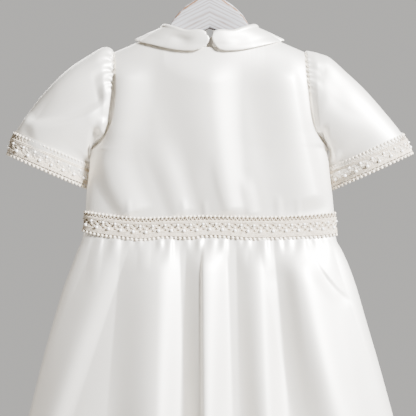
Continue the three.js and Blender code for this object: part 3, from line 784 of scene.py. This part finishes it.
ARMHOLE_STRIP = table("""
    height left right
    -250 1.2 1.2
    -236 3.4 1.3
    -214 4.8 1.4
    -190 4.2 1.4
    -170 2.4 1.3
    -142 1.2 1.2
""")
ARMHOLE_RECESS = 3.2
ARMHOLE_FOLD = 0.7
ARMHOLE_FOOT = UNDERARM + 0.01
JUST_INSIDE = 0.9999

# How the centre back's edges run on, column by column: where each stands and how far it is sunk
RIGHT_LAP = ((PLACKET_HALF - 5, 2.2), (0.7 - PLACKET_HALF, 1.2), (-PLACKET_HALF, 0.55),
             (0.5 - PLACKET_HALF, 0.05), (1.4 - PLACKET_HALF, 0), (3 - PLACKET_HALF, 0), (-2, 0), (0, 0))
LEFT_LAP = ((-PLACKET_HALF - 3, 0), (-PLACKET_HALF - 1, PLACKET_SINK), (0, PLACKET_SINK),
            (PLACKET_HALF, PLACKET_SINK))


def armhole_edge(side, z, back):
    x = side * half_width(side, z)
    edge = bodice_line(x * JUST_INSIDE, z, back)
    edge[:, 0] = x
    edge[:, 1] *= z > ARMHOLE_FOOT
    return edge


def armhole_strip(side, back):
    """The folded edge of the armhole and the strip that turns back from it to the sleeve's seam."""
    z = lerp(UNDERARM, SHOULDER_TIP, np.linspace(0, 1, 120))
    edge = armhole_edge(side, z, back)
    strip = on_side(ARMHOLE_STRIP, side, z)
    lift = np.abs(edge[:, 1]) - bodice_depth(edge[:, 0] * JUST_INSIDE, z, back) * (z > ARMHOLE_FOOT)
    reach = np.minimum(ARMHOLE_RECESS + np.maximum(lift, 0), np.abs(edge[:, 1]))
    columns = []
    for q in np.linspace(0, 1, 8):
        fold = ARMHOLE_FOLD * math.sin(math.pi * min(q * 2, 1)) * 0.6
        inward = (-1 if back else 1) * reach * math.sqrt(q)
        columns.append(edge + np.stack([side * (fold + strip * q**1.5), inward, 0 * z], axis=-1))
    return np.stack(columns, axis=1)


def lap_columns(z, places):
    """Columns down the centre back."""
    columns = []
    for x, sunk in places:
        across = np.full_like(z, x)
        columns.append(bodice_line(across, np.minimum(z, top_height(across, True)), True, -sunk))
    return np.stack(columns, axis=1)


def lap_right(points):
    """The right back's centre edge lies straight, past the middle, with its edge turned in."""
    return np.concatenate([lap_columns(points[:, 0, 2], RIGHT_LAP), points], axis=1)


def lap_left(points):
    """The left back runs on under the right one."""
    return np.concatenate([points, lap_columns(points[:, -1, 2], LEFT_LAP)], axis=1)


def bodice_cloth(name, back, low, high, cols, lap=None):
    """A piece of the bodice from low to high across, with the turned edges of its armholes."""
    build = Build()
    v = np.concatenate([np.linspace(0, 1, 75, endpoint=False), 1 + np.sin(np.linspace(0, np.pi / 2, 75))])
    points = bodice_points(np.linspace(low, high, cols), v[:, None], back)
    build.grid(lap(points) if lap else points, flip=back)
    for side in (-1, 1):
        if low < side * 0.9 < high:
            build.grid(armhole_strip(side, back), flip=(side < 0) != back)
    return build.piece(f"{name}_cloth", name, "satin", SATIN)


bodice_front = bodice_cloth("bodice_front", False, -1, 1, 200)
bodice_back_right = bodice_cloth("bodice_back_right", True, 0.01, 1, 110, lap_right)
bodice_back_left = bodice_cloth("bodice_back_left", True, -1, -0.08, 110, lap_left)


# Skirt

WAIST_SHARE = 0.75
WAIST_STRENGTH = 0.45
HEM_WIDTH_GROWTH = 0.6
HEM_STRENGTH_GROWTH = 0.35
FOLD_SOFTENED = 0.8
FOLD_FULLNESS = 1.25
HEM_ALLOWANCE = 28
# How the hem turns up inside, row by row: its height over the hem and how far it stands inside
HEM_TURN = ((0, 0), (-0.45, 0.25), (-0.6, 0.8), (-0.45, 1.35), (0, 1.6), (6, 1.7), (HEM_ALLOWANCE, 1.2))


def fold_outline(across, soft):
    """A rounded ridge between -1 and 1 with sharp valleys beside it, which soften lower down."""
    near = np.clip(across, -1, 1)
    return lerp(np.cos(np.pi / 2 * near), (1 + np.cos(np.pi * near)) / 2, soft)


def skirt_folds(folds, x, z):
    """Height of the folds at x and z, and how far their ridges lean to the left."""
    high = np.clip((LACE_FOOT - z) / (LACE_FOOT - MIDDLE), 0, 1)
    low = np.clip((MIDDLE - z) / (MIDDLE - HEM), 0, 1)
    grow = smoothstep(WAIST - z, 4, 48)
    total, lean = np.zeros(np.broadcast(x, z).shape), np.zeros(np.broadcast(x, z).shape)
    for fold in each(folds):
        run = fold["waist"] + (fold["middle"] - fold["waist"]) * high + (fold["hem"] - fold["middle"]) * low
        flank = np.where(x < run, fold["rise"], fold["drop"])
        across = (x - run) / (flank * (lerp(WAIST_SHARE, 1, high) + HEM_WIDTH_GROWTH * low))
        fade = np.clip((z - fold["fade"]) / (LACE_FOOT - fold["fade"]), 0, 1)
        strength = fade if fold["fade"] else lerp(WAIST_STRENGTH, 1, high) + HEM_STRENGTH_GROWTH * low
        total += FOLD_FULLNESS * fold["high"] * strength * grow * fold_outline(across, FOLD_SOFTENED * high)
        lean -= fold["over"] * grow * (1 - 0.5 * high) * np.exp(-(across * 2.2) ** 2)
    return total, lean


def skirt_points(t, z, back):
    """Points of a skirt half: t across from -1 to 1 and z down from the waist."""
    across = np.sin(t * np.pi / 2)
    x = across * on_side(SKIRT, across, z)
    plain = read(SKIRT, z, "depth") * np.sqrt(np.clip(1 - np.abs(across) ** SIDE_ROUNDNESS, 0, None))
    folds, lean = skirt_folds(BACK_FOLDS if back else FRONT_FOLDS, x, z)
    small = relief(SKIRT_BACK_CREASES if back else SKIRT_FRONT_CREASES, x, z) * smoothstep(WAIST - z, 8, 15)
    inner = 1 - np.abs(across) ** 6
    depth = plain + (folds + small) * inner
    return np.stack([x + lean * inner, depth if back else -depth, np.broadcast_to(z, x.shape)], axis=-1)


def skirt_half(name, back):
    build = Build()
    z = WAIST - (WAIST - HEM) * np.linspace(0, 1, 130) ** 1.6
    t = np.linspace(-1, 1, 360)
    points = skirt_points(t, z[:, None], back)
    build.grid(points, flip=not back)
    rows = []
    for up, inside in HEM_TURN:
        row = skirt_points(t, np.full_like(t, HEM + up), back) if up > 1 else points[-1].copy()
        row[:, 2] = HEM + up
        row[:, 1] += -inside if back else inside
        rows.append(row)
    build.grid(np.stack(rows), flip=back)
    return build.piece(f"{name}_cloth", name, "satin", SATIN)


skirt_front = skirt_half("skirt_front", False)
skirt_back = skirt_half("skirt_back", True)


# Sleeves


def sleeve_points(side, along, turn):
    """Points of a sleeve: along from the armhole, turn from the shoulder down the front and up the back."""
    shape = LEFT_SLEEVE if side < 0 else RIGHT_SLEEVE
    down = (1 - np.cos(turn)) / 2
    forward = np.where(np.sin(turn) >= 0, -1.0, 1.0)
    edge_z = lerp(shape["top_high"][0], shape["under_high"][0], down)
    edge_x = half_width(side, edge_z)
    plain_x = lerp(read(shape, along, "top"), read(shape, along, "under"), down)
    bulge = (edge_x - lerp(shape["top"][0], shape["under"][0], down)) * (1 - along) ** 2
    z = lerp(read(shape, along, "top_high"), read(shape, along, "under_high"), down)
    inside = side * edge_x * JUST_INSIDE
    seam = np.where(forward < 0, bodice_depth(inside, edge_z, False), bodice_depth(inside, edge_z, True))
    opened = np.where(edge_z < ARMHOLE_FOOT, 0, seam)
    full = read(shape, along, "depth") * np.abs(np.sin(turn)) ** PUFF_FULLNESS
    tucked = 1 - smoothstep(along, 0, 0.045)
    depth = lerp(opened, full, smoothstep(along, 0, PUFF_START)) - np.minimum(ARMHOLE_RECESS, opened) * tucked
    strip = on_side(ARMHOLE_STRIP, side, edge_z) * (1 - smoothstep(along, 0, 0.08))
    y = forward * depth + read(shape, along, "back") * down**2
    return np.stack(np.broadcast_arrays(side * (plain_x + bulge + strip), y, z), axis=-1)


def cap_gathers(cap, along, down):
    """The cap's gathers: sharp at the seam, widening and dying away along the sleeve, with puffs between."""
    total = np.zeros(np.broadcast(along, down).shape)
    for gather in each(cap):
        reach = np.clip(along / gather["reach"], 0, 1)
        off = (down - gather["down"] - 0.02 * reach) / (gather["half"] * (0.55 + 1.5 * reach))
        strength = smoothstep(along, 0.0, 0.012) * (1 - reach) ** 1.3
        total -= gather["deep"] * strength * np.exp(-(off**2) * 1.6)
    puff = smoothstep(along, 0, 0.03) * (1 - smoothstep(along, 0.04, 0.22)) * smoothstep(0.5 - down, 0, 0.2)
    return total + 1.5 * puff


def sleeve_grid(side, along, turn):
    """The sleeve with its gathers and creases."""
    points = sleeve_points(side, along[:, None], turn)
    normals = grid_normals(points, ring=True) * side
    lift = cap_gathers(LEFT_CAP if side < 0 else RIGHT_CAP, along[:, None], (1 - np.cos(turn)) / 2)
    facing = np.sin(turn)
    rows = LEFT_SLEEVE_CREASES if side < 0 else RIGHT_SLEEVE_CREASES
    front = relief(rows, points[..., 0], points[..., 2]) * np.clip(facing * 1.6, 0, 1)
    back = relief(BACK_SLEEVE_CREASES, np.abs(points[..., 0]), points[..., 2]) * np.clip(-facing * 1.6, 0, 1)
    quiet = smoothstep(CLOTH_END - along, 0, 0.12)[:, None]
    return points + normals * (lift + (front + back) * quiet)[..., None]


def sleeve_cloth(name, side):
    """A sleeve with its narrow hem turned in under the lace."""
    build = Build()
    along = np.concatenate([np.linspace(0, 0.25, 50, endpoint=False), np.linspace(0.25, CLOTH_END, 60)])
    points = sleeve_grid(side, along, full_turn(220))
    build.grid(points, ring=True, flip=side < 0)
    normals = grid_normals(points, ring=True)[-1] * side
    rows = [points[-1] + normals * inside for inside in (0, 0.6, 1.2)]
    build.grid(np.stack(rows + [points[-16] + normals * 1.2]), ring=True, flip=side < 0)
    return build.piece(f"{name}_cloth", name, "satin", SATIN)


sleeve_left = sleeve_cloth("sleeve_left", -1)
sleeve_right = sleeve_cloth("sleeve_right", 1)


# Collar

COLLAR_START, COLLAR_END = 4, 176
COLLAR_STAND_ENDS = 0.2
COLLAR_ROLL_ENDS = 0.45
COLLAR_DISH = {-1: 3.6, 1: 1.2}
COLLAR_BOW = {-1: 1, 1: 0.55}
COLLAR_DISH_TURN, COLLAR_DISH_FALL = 33, 0.42
COLLAR_FLARE = 1.5
COLLAR_BULGE = 1.6


def collar_fall(side, degrees, fall, point, out, bow):
    """A point of the collar's fall, bowed at its ends, dished, flared at its rim and clear of the bodice."""
    back = degrees > 90
    point[0] -= COLLAR_BOW[side] * bow * (4 * fall * (1 - fall)) ** 0.7
    apart = ((degrees - COLLAR_DISH_TURN) / 15) ** 2 + ((fall - COLLAR_DISH_FALL) / 0.26) ** 2
    rim = COLLAR_FLARE * float(smoothstep(fall, 0.6, 1)) * (not back)
    point = point + out * (rim - COLLAR_DISH[side] * math.exp(-apart))
    if point[2] < top_at(point[0], back) - 0.5:
        least = depth_at(point[0], point[2], back) + COLLAR_LIFT
        least *= min(1, abs(math.cos(math.radians(degrees))) * 8)
        if abs(point[1]) < least:
            point[1] = least if back else -least
    return point


def collar_section(side, degrees, shares):
    """The collar's upper face at one turn: up from the neck seam, over the roll and down to its edge."""
    turn = math.radians(degrees)
    back = degrees > 90
    at = {name: float(read(COLLAR, degrees, name)) for name in ("stand", "out", "low", "bow")}
    out = np.array([NECK_DEPTH * math.sin(turn), -NECK_HALF_WIDTH * math.cos(turn), 0])
    out /= np.linalg.norm(out)
    edge_x = NECK_HALF_WIDTH * math.sin(turn)
    seam_z = top_at(edge_x, back) + 0.3
    seam = np.array([edge_x, -NECK_DEPTH * math.cos(turn), seam_z]) - out * 1.6
    centre = seam + out * COLLAR_ROLL
    centre[2] = seam_z + at["stand"] - COLLAR_ROLL
    edge_y = (depth_at(at["out"], at["low"], back) + COLLAR_LIFT) * min(1, abs(math.cos(turn)) * 8)
    edge = np.array([at["out"], edge_y if back else -edge_y, at["low"]])
    section = []
    for share in shares:
        if share < COLLAR_STAND_ENDS:
            point = lerp(seam, seam * [1, 1, 0] + [0, 0, centre[2]], share / COLLAR_STAND_ENDS)
        elif share < COLLAR_ROLL_ENDS:
            angle = math.pi * (1 - (share - COLLAR_STAND_ENDS) / (COLLAR_ROLL_ENDS - COLLAR_STAND_ENDS))
            point = centre + out * COLLAR_ROLL * math.cos(angle) + [0, 0, COLLAR_ROLL * math.sin(angle)]
        else:
            fall = (share - COLLAR_ROLL_ENDS) / (1 - COLLAR_ROLL_ENDS)
            point = lerp(centre + out * COLLAR_ROLL, edge, fall)
            point += out * (COLLAR_BULGE * math.sin(math.pi * fall))
            point = collar_fall(side, degrees, fall, point, out, at["bow"])
        section.append([side * point[0], point[1], point[2]])
    return section


def collar_half(name, side):
    """Two layers of satin turned out at the edge, so the collar is thin and round at its rim."""
    build = Build()
    ends = np.array([0, 0.02, 0.06, 0.12, 0.22, 0.36, 0.55, 0.8]) * 5
    turns = np.concatenate([COLLAR_START + ends, np.linspace(9, 171, 110), COLLAR_END - ends[::-1]])
    rim = 1 - 0.07 * np.array([0.72, 0.5, 0.32, 0.18, 0.09, 0.03, 0])
    shares = np.concatenate([np.linspace(0, 0.93, 46), rim])
    face = np.array([collar_section(side, degrees, shares) for degrees in turns])
    normals = grid_normals(face) * side
    length = np.linalg.norm(np.diff(face, axis=1), axis=-1).sum(axis=1)
    to_edge = (1 - shares)[None, :] * length[:, None] * 1.1
    to_end = np.minimum(turns - COLLAR_START, COLLAR_END - turns)[:, None] * 0.9
    near = np.minimum(to_edge, to_end)
    half = COLLAR_THICK / 2
    round_off = np.sqrt(np.clip(1 - (1 - np.clip(near / half, 0, 1)) ** 2, 0, 1))[..., None]
    middle = face - normals * half
    over, under = middle + normals * half * round_off, middle - normals * half * round_off
    build.grid(over, flip=side > 0)
    build.grid(under, flip=side < 0)
    build.grid(np.stack([over[:, 0], under[:, 0]], axis=1), flip=side < 0)
    return build.piece(f"{name}_cloth", name, "satin", SATIN, weld=True)


collar_left = collar_half("collar_left", -1)
collar_right = collar_half("collar_right", 1)


# Lace

BAND_HEIGHT = 29
BAND_LIFT = 1.0
BAND_HALF_WIDTH = 138
WAIST_BAND_TOP = table("""
    x high
    -138 -316.7
    -93 -322
    -71 -323.3
    -5 -321.1
    55 -322.2
    99.5 -321
    138 -317.8
""")
WAIST_BAND_FOOT = table("""
    x low
    -141 -338.7
    -120 -344
    -93 -347.5
    -71 -349.7
    -49 -347
    -21 -348
    -5 -345.9
    17 -346.4
    39 -348.6
    66 -348.6
    99.5 -347.5
    121 -346.4
    139 -344
""")
PICOT_PITCH = 4.4
LATTICE_PITCH = 6.9
BAR_PITCH = 4.2
FOOT_PITCH = 4.7
CORD_STEP = 0.66
CORD_LIFT = 0.7
LATTICE_STRANDS = (-1.43, -0.48, 0.48, 1.43)
NET_TOP = 2.6

# Cords that run round a band: how far down it, radius of a ply and pitch of the twist
CORDS = table("""
    down radius pitch
    6.9 0.5 3.1
    8.3 0.5 3.1
    9.4 0.28 2.4
    19.8 0.42 2.4
""")
CUFF_CORDS = table("""
    down radius pitch
    21 0.5 2.4
    22.2 0.5 2.4
    23.3 0.5 2.4
    25.9 0.42 2.4
""")
WAIST_CORDS = table("""
    down radius pitch
    20.9 0.36 2.4
    21.8 0.36 2.5
    22.7 0.36 2.4
    23.6 0.36 2.5
    24.7 0.42 2.4
""")

# The picots' solid middles, the pearls' seats, the knots where the lattice crosses, and the feet's middles
KNOT_ROWS = table("""
    down pitch shift radius flat
    1.35 4.4 0 1.4 0.8
    11.2 6.9 0.5 0.8 0.55
    14.6 6.9 0 1.15 0.55
    18 6.9 0.5 0.8 0.55
    27.2 4.7 0 1.5 0.8
""")
PEARL_ROWS = table("""
    down pitch shift radius flat
    11.2 13.75 0 1.4 1
    18.2 13.75 0.5 1.8 1
""")


class Band:
    """Places on a lace band, by length round it, depth down it from its top edge and lift off it."""

    def __init__(self, surface, around):
        self.surface = surface
        self.spots = np.linspace(0, around, 1441)
        self.lengths = lengths_along(surface(self.spots, np.full_like(self.spots, BAND_HEIGHT / 2)))
        self.around = self.lengths[-1]

    def plain(self, u, h):
        return self.surface(np.interp(u % self.around, self.lengths, self.spots), h)

    def at(self, u, h, lift=0.0):
        u, h = spread(u, h)
        return self.plain(u, h) + self.normal(u, h) * np.asarray(lift)[..., None]

    def normal(self, u, h):
        u, h = spread(u, h)
        across = self.plain(u + 0.4, h) - self.plain(u - 0.4, h)
        down = self.plain(u, h + 0.4) - self.plain(u, h - 0.4)
        return unit(np.cross(down, across))


def waist_surface(place, h):
    """The waist band: place is 0 to 2 across the front from the left, then 2 to 4 back again behind."""
    back = place > 2
    across = np.sin(np.where(back, 3 - place, place - 1) * np.pi / 2)
    flat = across * BAND_HALF_WIDTH
    top, foot = read(WAIST_BAND_TOP, flat, "high"), read(WAIST_BAND_FOOT, flat, "low")
    z = top + (foot - top) * h / BAND_HEIGHT
    on_skirt = z < WAIST
    x = across * (np.where(on_skirt, on_side(SKIRT, across, z), on_side(BODICE, across, z)) + BAND_LIFT)
    depth = np.where(on_skirt, read(SKIRT, z, "depth"), read(BODICE, z, "depth"))
    y = (depth + BAND_LIFT) * np.sqrt(np.clip(1 - np.abs(across) ** SIDE_ROUNDNESS, 0, None))
    y = y + np.where(back, bodice_relief(x, z, True), bodice_relief(x, z, False)) * ~on_skirt
    return np.stack([x, np.where(back, y, -y), z], axis=-1)


def cuff_surface(side):
    """A cuff's band: place is the turn round it, and both bands run the same way round."""

    def surface(turn, h):
        turn = turn if side < 0 else 2 * np.pi - turn
        along = lerp(LACE_START, 1, h / BAND_HEIGHT)
        points = sleeve_points(side, along, turn)
        front = sleeve_points(side, along, np.full_like(turn, np.pi / 2))
        behind = sleeve_points(side, along, np.full_like(turn, 3 * np.pi / 2))
        return points + unit(points - (front + behind) / 2) * BAND_LIFT

    return surface


def threads(build, band, u, h, lift, radius):
    """Threads whose places on the band are given as arrays of threads by points."""
    u, h = spread(u, h)
    tubes(build, band.at(u, h, lift), band.normal(u, h), radius, 4)


def cord_round(build, band, down, radius, pitch):
    """A cord of two twisted plies round the whole band."""
    u = np.linspace(0, band.around, int(band.around / CORD_STEP))
    for start in (0, np.pi):
        twist = u / pitch * 2 * np.pi + start
        threads(build, band, u[None], (down + 0.75 * radius * np.cos(twist))[None],
                (CORD_LIFT + 0.75 * radius * np.sin(twist))[None], radius)


def even(band, pitch, shift=0.0):
    """Lengths round a band, about a pitch apart and moved on by a share of it."""
    count = max(4, int(round(band.around / pitch)))
    return (np.arange(count) + shift) * band.around / count


def loops_round(build, band, pitch, down, wide, high, count, radius):
    """Small closed loops of thread, side by side."""
    turn = np.linspace(0, 2 * np.pi, count)
    u = even(band, pitch)[:, None] + wide * np.sin(turn)
    threads(build, band, u, down - high * np.cos(turn), 0.5, radius)


def lace_threads(band, cuff):
    """Picots on top, cords, a lattice of four strands each way, more cords or bars, and loops below."""
    build = Build()
    arm = np.linspace(0, 1, 5)
    for way in (-0.5, 0.5):
        u = lerp(even(band, PICOT_PITCH)[:, None], even(band, PICOT_PITCH, way)[:, None], arm)
        threads(build, band, u, 2.2 + 4 * arm, 0.35 + 0.2 * np.sin(np.pi * arm), 0.42)
    loops_round(build, band, PICOT_PITCH, 1.3, 1.15, 1.15, 9, 0.5)
    share = np.linspace(0, 1, 8)
    for way, lift in ((-1, 0.35), (1, 0.55)):
        for strand in LATTICE_STRANDS:
            u = even(band, LATTICE_PITCH)[:, None] + strand + way * 10 * (share - 0.5)
            threads(build, band, u, 9.6 + 10 * share, lift + 0.12 * np.sin(share * 19), 0.3)
    if cuff:
        threads(build, band, even(band, BAR_PITCH)[:, None], 23.4 + 2.6 * np.linspace(0, 1, 4), 0.35, 0.62)
    for cord in each(CORDS) + each(CUFF_CORDS if cuff else WAIST_CORDS):
        cord_round(build, band, **cord)
    loops_round(build, band, FOOT_PITCH, 27.2, 1.35, 1.4, 10, 0.52)
    return build


def beads_round(band, source, lift, lift_share, around, bands):
    """Rows of knots or pearls round a band, lifted off it by so much and by a share of their radius."""
    build = Build()
    for row in each(source):
        u = even(band, row["pitch"], row["shift"])
        places = band.at(u, row["down"], lift + lift_share * row["radius"])
        beads(build, places, band.normal(u, row["down"]), row["radius"], row["flat"], around, bands)
    return build


def lace_net(band, foot):
    build = Build()
    u = np.linspace(0, band.around, int(band.around / 1.2) + 1)[:-1]
    build.grid(band.at(u, np.linspace(NET_TOP, foot, 16)[:, None]), ring=True, flip=True)
    return build


def lace(name, surface, around, cuff):
    """A band of lace: its net, and the threads, knots and pearls that lie on it."""
    band = Band(surface, around)
    # The net's dark brown is painted shade showing through the gaps between the threads
    net = lace_net(band, 23.6 if cuff else 26).piece(f"{name}_net", name, "lace", NET_PAINTED_SHADE)
    trim = [
        lace_threads(band, cuff).piece(f"{name}_threads", name, "lace", THREAD),
        beads_round(band, KNOT_ROWS, 0.6, 0, 8, 5).piece(f"{name}_knots", name, "lace", KNOTS),
        beads_round(band, PEARL_ROWS, 0, 0.8, 14, 9).piece(f"{name}_pearls", name, "lace", PEARL),
    ]
    return net, trim


waist_net, waist_trim = lace("waist_lace", waist_surface, 4, False)
cuff_left_net, cuff_left_trim = lace("cuff_lace_left", cuff_surface(-1), 2 * np.pi, True)
cuff_right_net, cuff_right_trim = lace("cuff_lace_right", cuff_surface(1), 2 * np.pi, True)


# Hanger, hook and buttons

ARMS_START = 50
ARM_SQUARENESS = 0.42
BACKWARD = np.array([0.0, 1.0, 0.0])
BUTTON_STANDS_OFF = 0.6
# Radius and height of the button's face from the middle of its back, over its rim and in to the middle
BUTTON_PROFILE = ((0, 0), (3.4, 0), (4.2, 0.35), (4.55, 0.9), (4.6, 1.5), (4.45, 2.1), (4.1, 2.55),
                  (3.6, 2.7), (3.2, 2.5), (2.9, 2.2), (2.2, 2.05), (1, 2), (0.02, 2))
# Height over the button's face and place up it of a sewing thread
BUTTON_THREAD = ((-0.5, -1.1), (0.1, -0.8), (0.22, 0), (0.1, 0.8), (-0.5, 1.1))


def hanger_top(x):
    out = np.abs(x)
    dip = 3 * np.clip(1 - (np.abs(out - NECK_HALF_WIDTH) / 10) ** 2, 0, None)
    return np.where(out < ARMS_START, read(HANGER_CROWN, out, "high"), top_height(out, False) - 1.9 - dip)


def squared(value):
    return np.sign(value) * np.abs(value) ** ARM_SQUARENESS


def hanger_wood():
    """The arms and crown in one, with rounded corners, a slight ripple and worn upper edges."""
    build = Build()
    x = np.linspace(-HANGER_END, HANGER_END, 289)
    away = np.abs(x)
    top, foot = hanger_top(x), HANGER_UNDER - HANGER_UNDER_SLOPE * away
    tip = np.sqrt(np.clip(1 - np.clip((away - 88) / 8, 0, 1) ** 2, 0.02, None))
    turn = full_turn(56)[:, None]
    across, up = squared(np.cos(turn)), squared(np.sin(turn))
    ripple = 0.12 * np.sin(x * 0.9) + 0.08 * np.sin(x * 2.3 + 1)
    y = HANGER_HALF_THICK * tip * across
    z = (top + foot) / 2 + ((top - foot) / 2 * tip + ripple) * up
    grid = np.stack([np.broadcast_to(x, y.shape), y, z], axis=-1)
    corner = np.clip(1 - np.abs(np.abs(across) - np.abs(up)) * 3.2, 0, 1) * (up > 0)
    wear = np.broadcast_to(corner, y.shape)
    build.grid(np.concatenate([grid, grid[:1]]), flip=True, wear=np.concatenate([wear, wear[:1]]))
    for end in (0, -1):
        hub = np.broadcast_to(grid[:, end].mean(axis=0), grid[:, end].shape)
        build.grid(np.stack([grid[:, end], hub]), ring=True, flip=end == 0)
    build.piece("hanger_wood_arms", "hanger_wood", "white_washed_wood", WOOD)


def hanger_hook():
    """The wire rises out of the crown, swings out and bends round into the open hook, with a round tip."""
    build = Build()
    radius = HOOK_INSIDE + HOOK_WIRE / 2
    angle = np.radians(np.linspace(-55, 205, 110))
    arc = np.stack([radius * np.cos(angle), 0 * angle, radius * np.sin(angle) - HOOK_INSIDE], axis=-1)
    shank = [[out, 0, HANGER_PEAK + rise] for out, rise in ((0, 0), (0, 12), (0.4, 24), (4, 33))]
    knots = np.concatenate([shank, arc[::10]])
    steps = np.concatenate([[0], np.cumsum(np.linalg.norm(np.diff(knots, axis=0), axis=-1) ** 0.5)])
    slopes = np.gradient(knots, steps, axis=0)
    spots = np.linspace(0, steps[-1], 260)
    path = np.stack([smooth_through(steps, knots[:, k], slopes[:, k], spots) for k in range(3)], axis=-1)
    path[:, 1] = 0
    tip = path[-1] - path[-2]
    tip /= np.linalg.norm(tip)
    ends = np.sin(np.linspace(0, np.pi / 2, 7))[1:]
    path = np.concatenate([path, path[-1] + tip * (HOOK_WIRE / 2 * ends)[:, None]])
    size = np.full(len(path), HOOK_WIRE / 2)
    size[-6:] *= np.sqrt(np.clip(1 - ends**2, 0.0004, None))
    tubes(build, path[None], BACKWARD, size[None], 16)
    build.piece("hanger_hook_wire", "hanger_hook", "steel_wire", STEEL)


def button_place(i):
    """Height of a button, and how far back its back stands."""
    z = FIRST_BUTTON - i * BUTTON_PITCH
    return z, depth_at(0, z, True) + BUTTON_STANDS_OFF


def back_button(i):
    """A pearl button: a thin rim round a shallow dished face."""
    build = Build()
    z, y = button_place(i)
    turn = full_turn(48)
    rings = []
    for radius, out in BUTTON_PROFILE:
        ring = [radius * np.cos(turn), np.full_like(turn, y + out), z + radius * np.sin(turn)]
        rings.append(np.stack(ring, axis=-1))
    build.grid(np.stack(rings), ring=True)
    build.piece(f"back_button_{i + 1}_pearl", f"back_button_{i + 1}", "pearl_button", PEARL)


def button_threads(i):
    """Two threads over a button's face, and the corded edge of its buttonhole."""
    build = Build()
    z, y = button_place(i)
    for x in (-0.9, 0.9):
        line = np.array([[x, y + 2.15 + out, z + up] for out, up in BUTTON_THREAD])
        tubes(build, line[None], BACKWARD, 0.28, 6)
    hole = np.linspace(0, 2 * np.pi, 40)
    across = np.cos(hole)
    x = np.where(np.abs(across) > 0.2, 6.4 * np.sign(across), 32 * across) * 0.9
    tubes(build, bodice_line(x, z + 0.75 * np.sin(hole), True, 0.2)[None], BACKWARD, 0.32)
    build.piece(f"back_button_{i + 1}_thread", f"back_button_{i + 1}", "pearl_button", SEWING)


def stitches(build, points, normals, length, gap, radius):
    """A row of small stitches lying along a line on the cloth."""
    steps = lengths_along(points)
    starts = np.arange(gap, steps[-1] - length, length + gap)
    share = np.linspace(0, 1, 5)
    places = starts[:, None] + length * share
    line, out = (np.stack([np.interp(places, steps, source[:, k]) for k in range(3)], axis=-1)
                 for source in (points, normals))
    line = line + out * (0.28 * np.sin(np.pi * share) - 0.08)[None, :, None]
    tubes(build, line, out, radius)


def placket_stitches():
    build = Build()
    z = np.linspace(-126, -313, 300)
    for x in (-PLACKET_HALF + 1.5, PLACKET_HALF - 0.5):
        line = bodice_line(x, z, True, 0.05)
        stitches(build, line, np.broadcast_to(BACKWARD, line.shape), 2.2, 1.1, 0.22)
    return build.piece("placket_stitches", "bodice_back_right", "satin", SEWING)


def hem_stitches(name, back):
    """Small blind-hem pricks where the turned-up allowance is caught to the skirt."""
    build = Build()
    t = np.linspace(-0.985, 0.985, 900)
    line = skirt_points(t, np.full_like(t, HEM + HEM_ALLOWANCE - 1.5), back)
    out = unit(np.cross(np.gradient(line, axis=0), [0.0, 0.0, -1.0 if back else 1.0]))
    stitches(build, line + out * 0.02, out, 1.3, 4.6, 0.16)
    return build.piece(f"{name}_hem_stitches", name, "satin", SEWING)


hanger_wood()
hanger_hook()
for i in range(BUTTON_COUNT):
    back_button(i)
for i in range(BUTTON_COUNT):
    button_threads(i)
placket_sewing = placket_stitches()
hem_front = hem_stitches("skirt_front", False)
hem_back = hem_stitches("skirt_back", True)


# Studio

FLOOR_HALF, FLOOR_LEVEL = 6.0, -2.4
GOWN_MIDDLE = Vector((0, 0, -0.36))


def floor_paint():
    """Plain warm grey, a little uneven."""
    paint = material("floor_paint", Roughness=0.9)
    tone = paint.noise(paint.place(), 0.6, 1.0)
    paint.feed("Base Color", paint.ramp(tone, (0.3, (0.7178, 0.6984, 0.6693)), (0.7, (0.74, 0.72, 0.69))))
    return paint.owner


def floor():
    mesh = bpy.data.meshes.new("floor")
    corners = [(x * FLOOR_HALF, y * FLOOR_HALF, FLOOR_LEVEL) for x, y in ((-1, -1), (1, -1), (1, 1), (-1, 1))]
    mesh.from_pydata(corners, [], [(0, 1, 2, 3)])
    mesh.materials.append(floor_paint())
    add_object("floor", mesh)


def studio_world():
    """Plain soft light: paler behind the gown, dimmer and warmer in front of it."""
    air = Shading(bpy.data.worlds.new("studio"), "Background")
    bpy.context.scene.world = air.owner
    behind = air.node("SeparateXYZ", {"Vector": air.node("TexCoord", {}, "Generated")}, "Y")
    share = air.node("MapRange", {"Value": behind, "From Min": -1}, "Result")
    air.feed("Color", air.ramp(share, (0.35, (0.185, 0.165, 0.135)), (0.8, (0.56, 0.55, 0.53))))


def lamp(name, left, high, away, size, power, colour):
    """A round soft light: degrees to the left of the front and above the level, and metres away."""
    data = bpy.data.lights.new(name, "AREA")
    data.shape, data.size, data.energy, data.color = "DISK", size, power, colour
    a, e = math.radians(left), math.radians(high)
    way = Vector((-math.sin(a) * math.cos(e), -math.cos(a) * math.cos(e), math.sin(e)))
    thing = add_object(name, data)
    thing.location = GOWN_MIDDLE + way * away
    thing.rotation_euler = way.to_track_quat("Z", "Y").to_euler()


floor()
studio_world()
lamp("key", -50, 28, 2.8, 0.7, 600, (0.96, 0.98, 1))
lamp("fill", 98, 8, 3, 1.6, 16, (1, 0.97, 0.93))
lamp("back", 160, 30, 3, 1.4, 60, (1, 0.99, 0.97))

camera_data = bpy.data.cameras.new("camera")
camera_data.sensor_width = 36
camera_data.lens = 125.87
camera = add_object("camera", camera_data)
camera.location = (-0.00165, -1.6, -0.3134)
camera.rotation_euler = (math.pi / 2, 0, 0)
bpy.context.scene.camera = camera
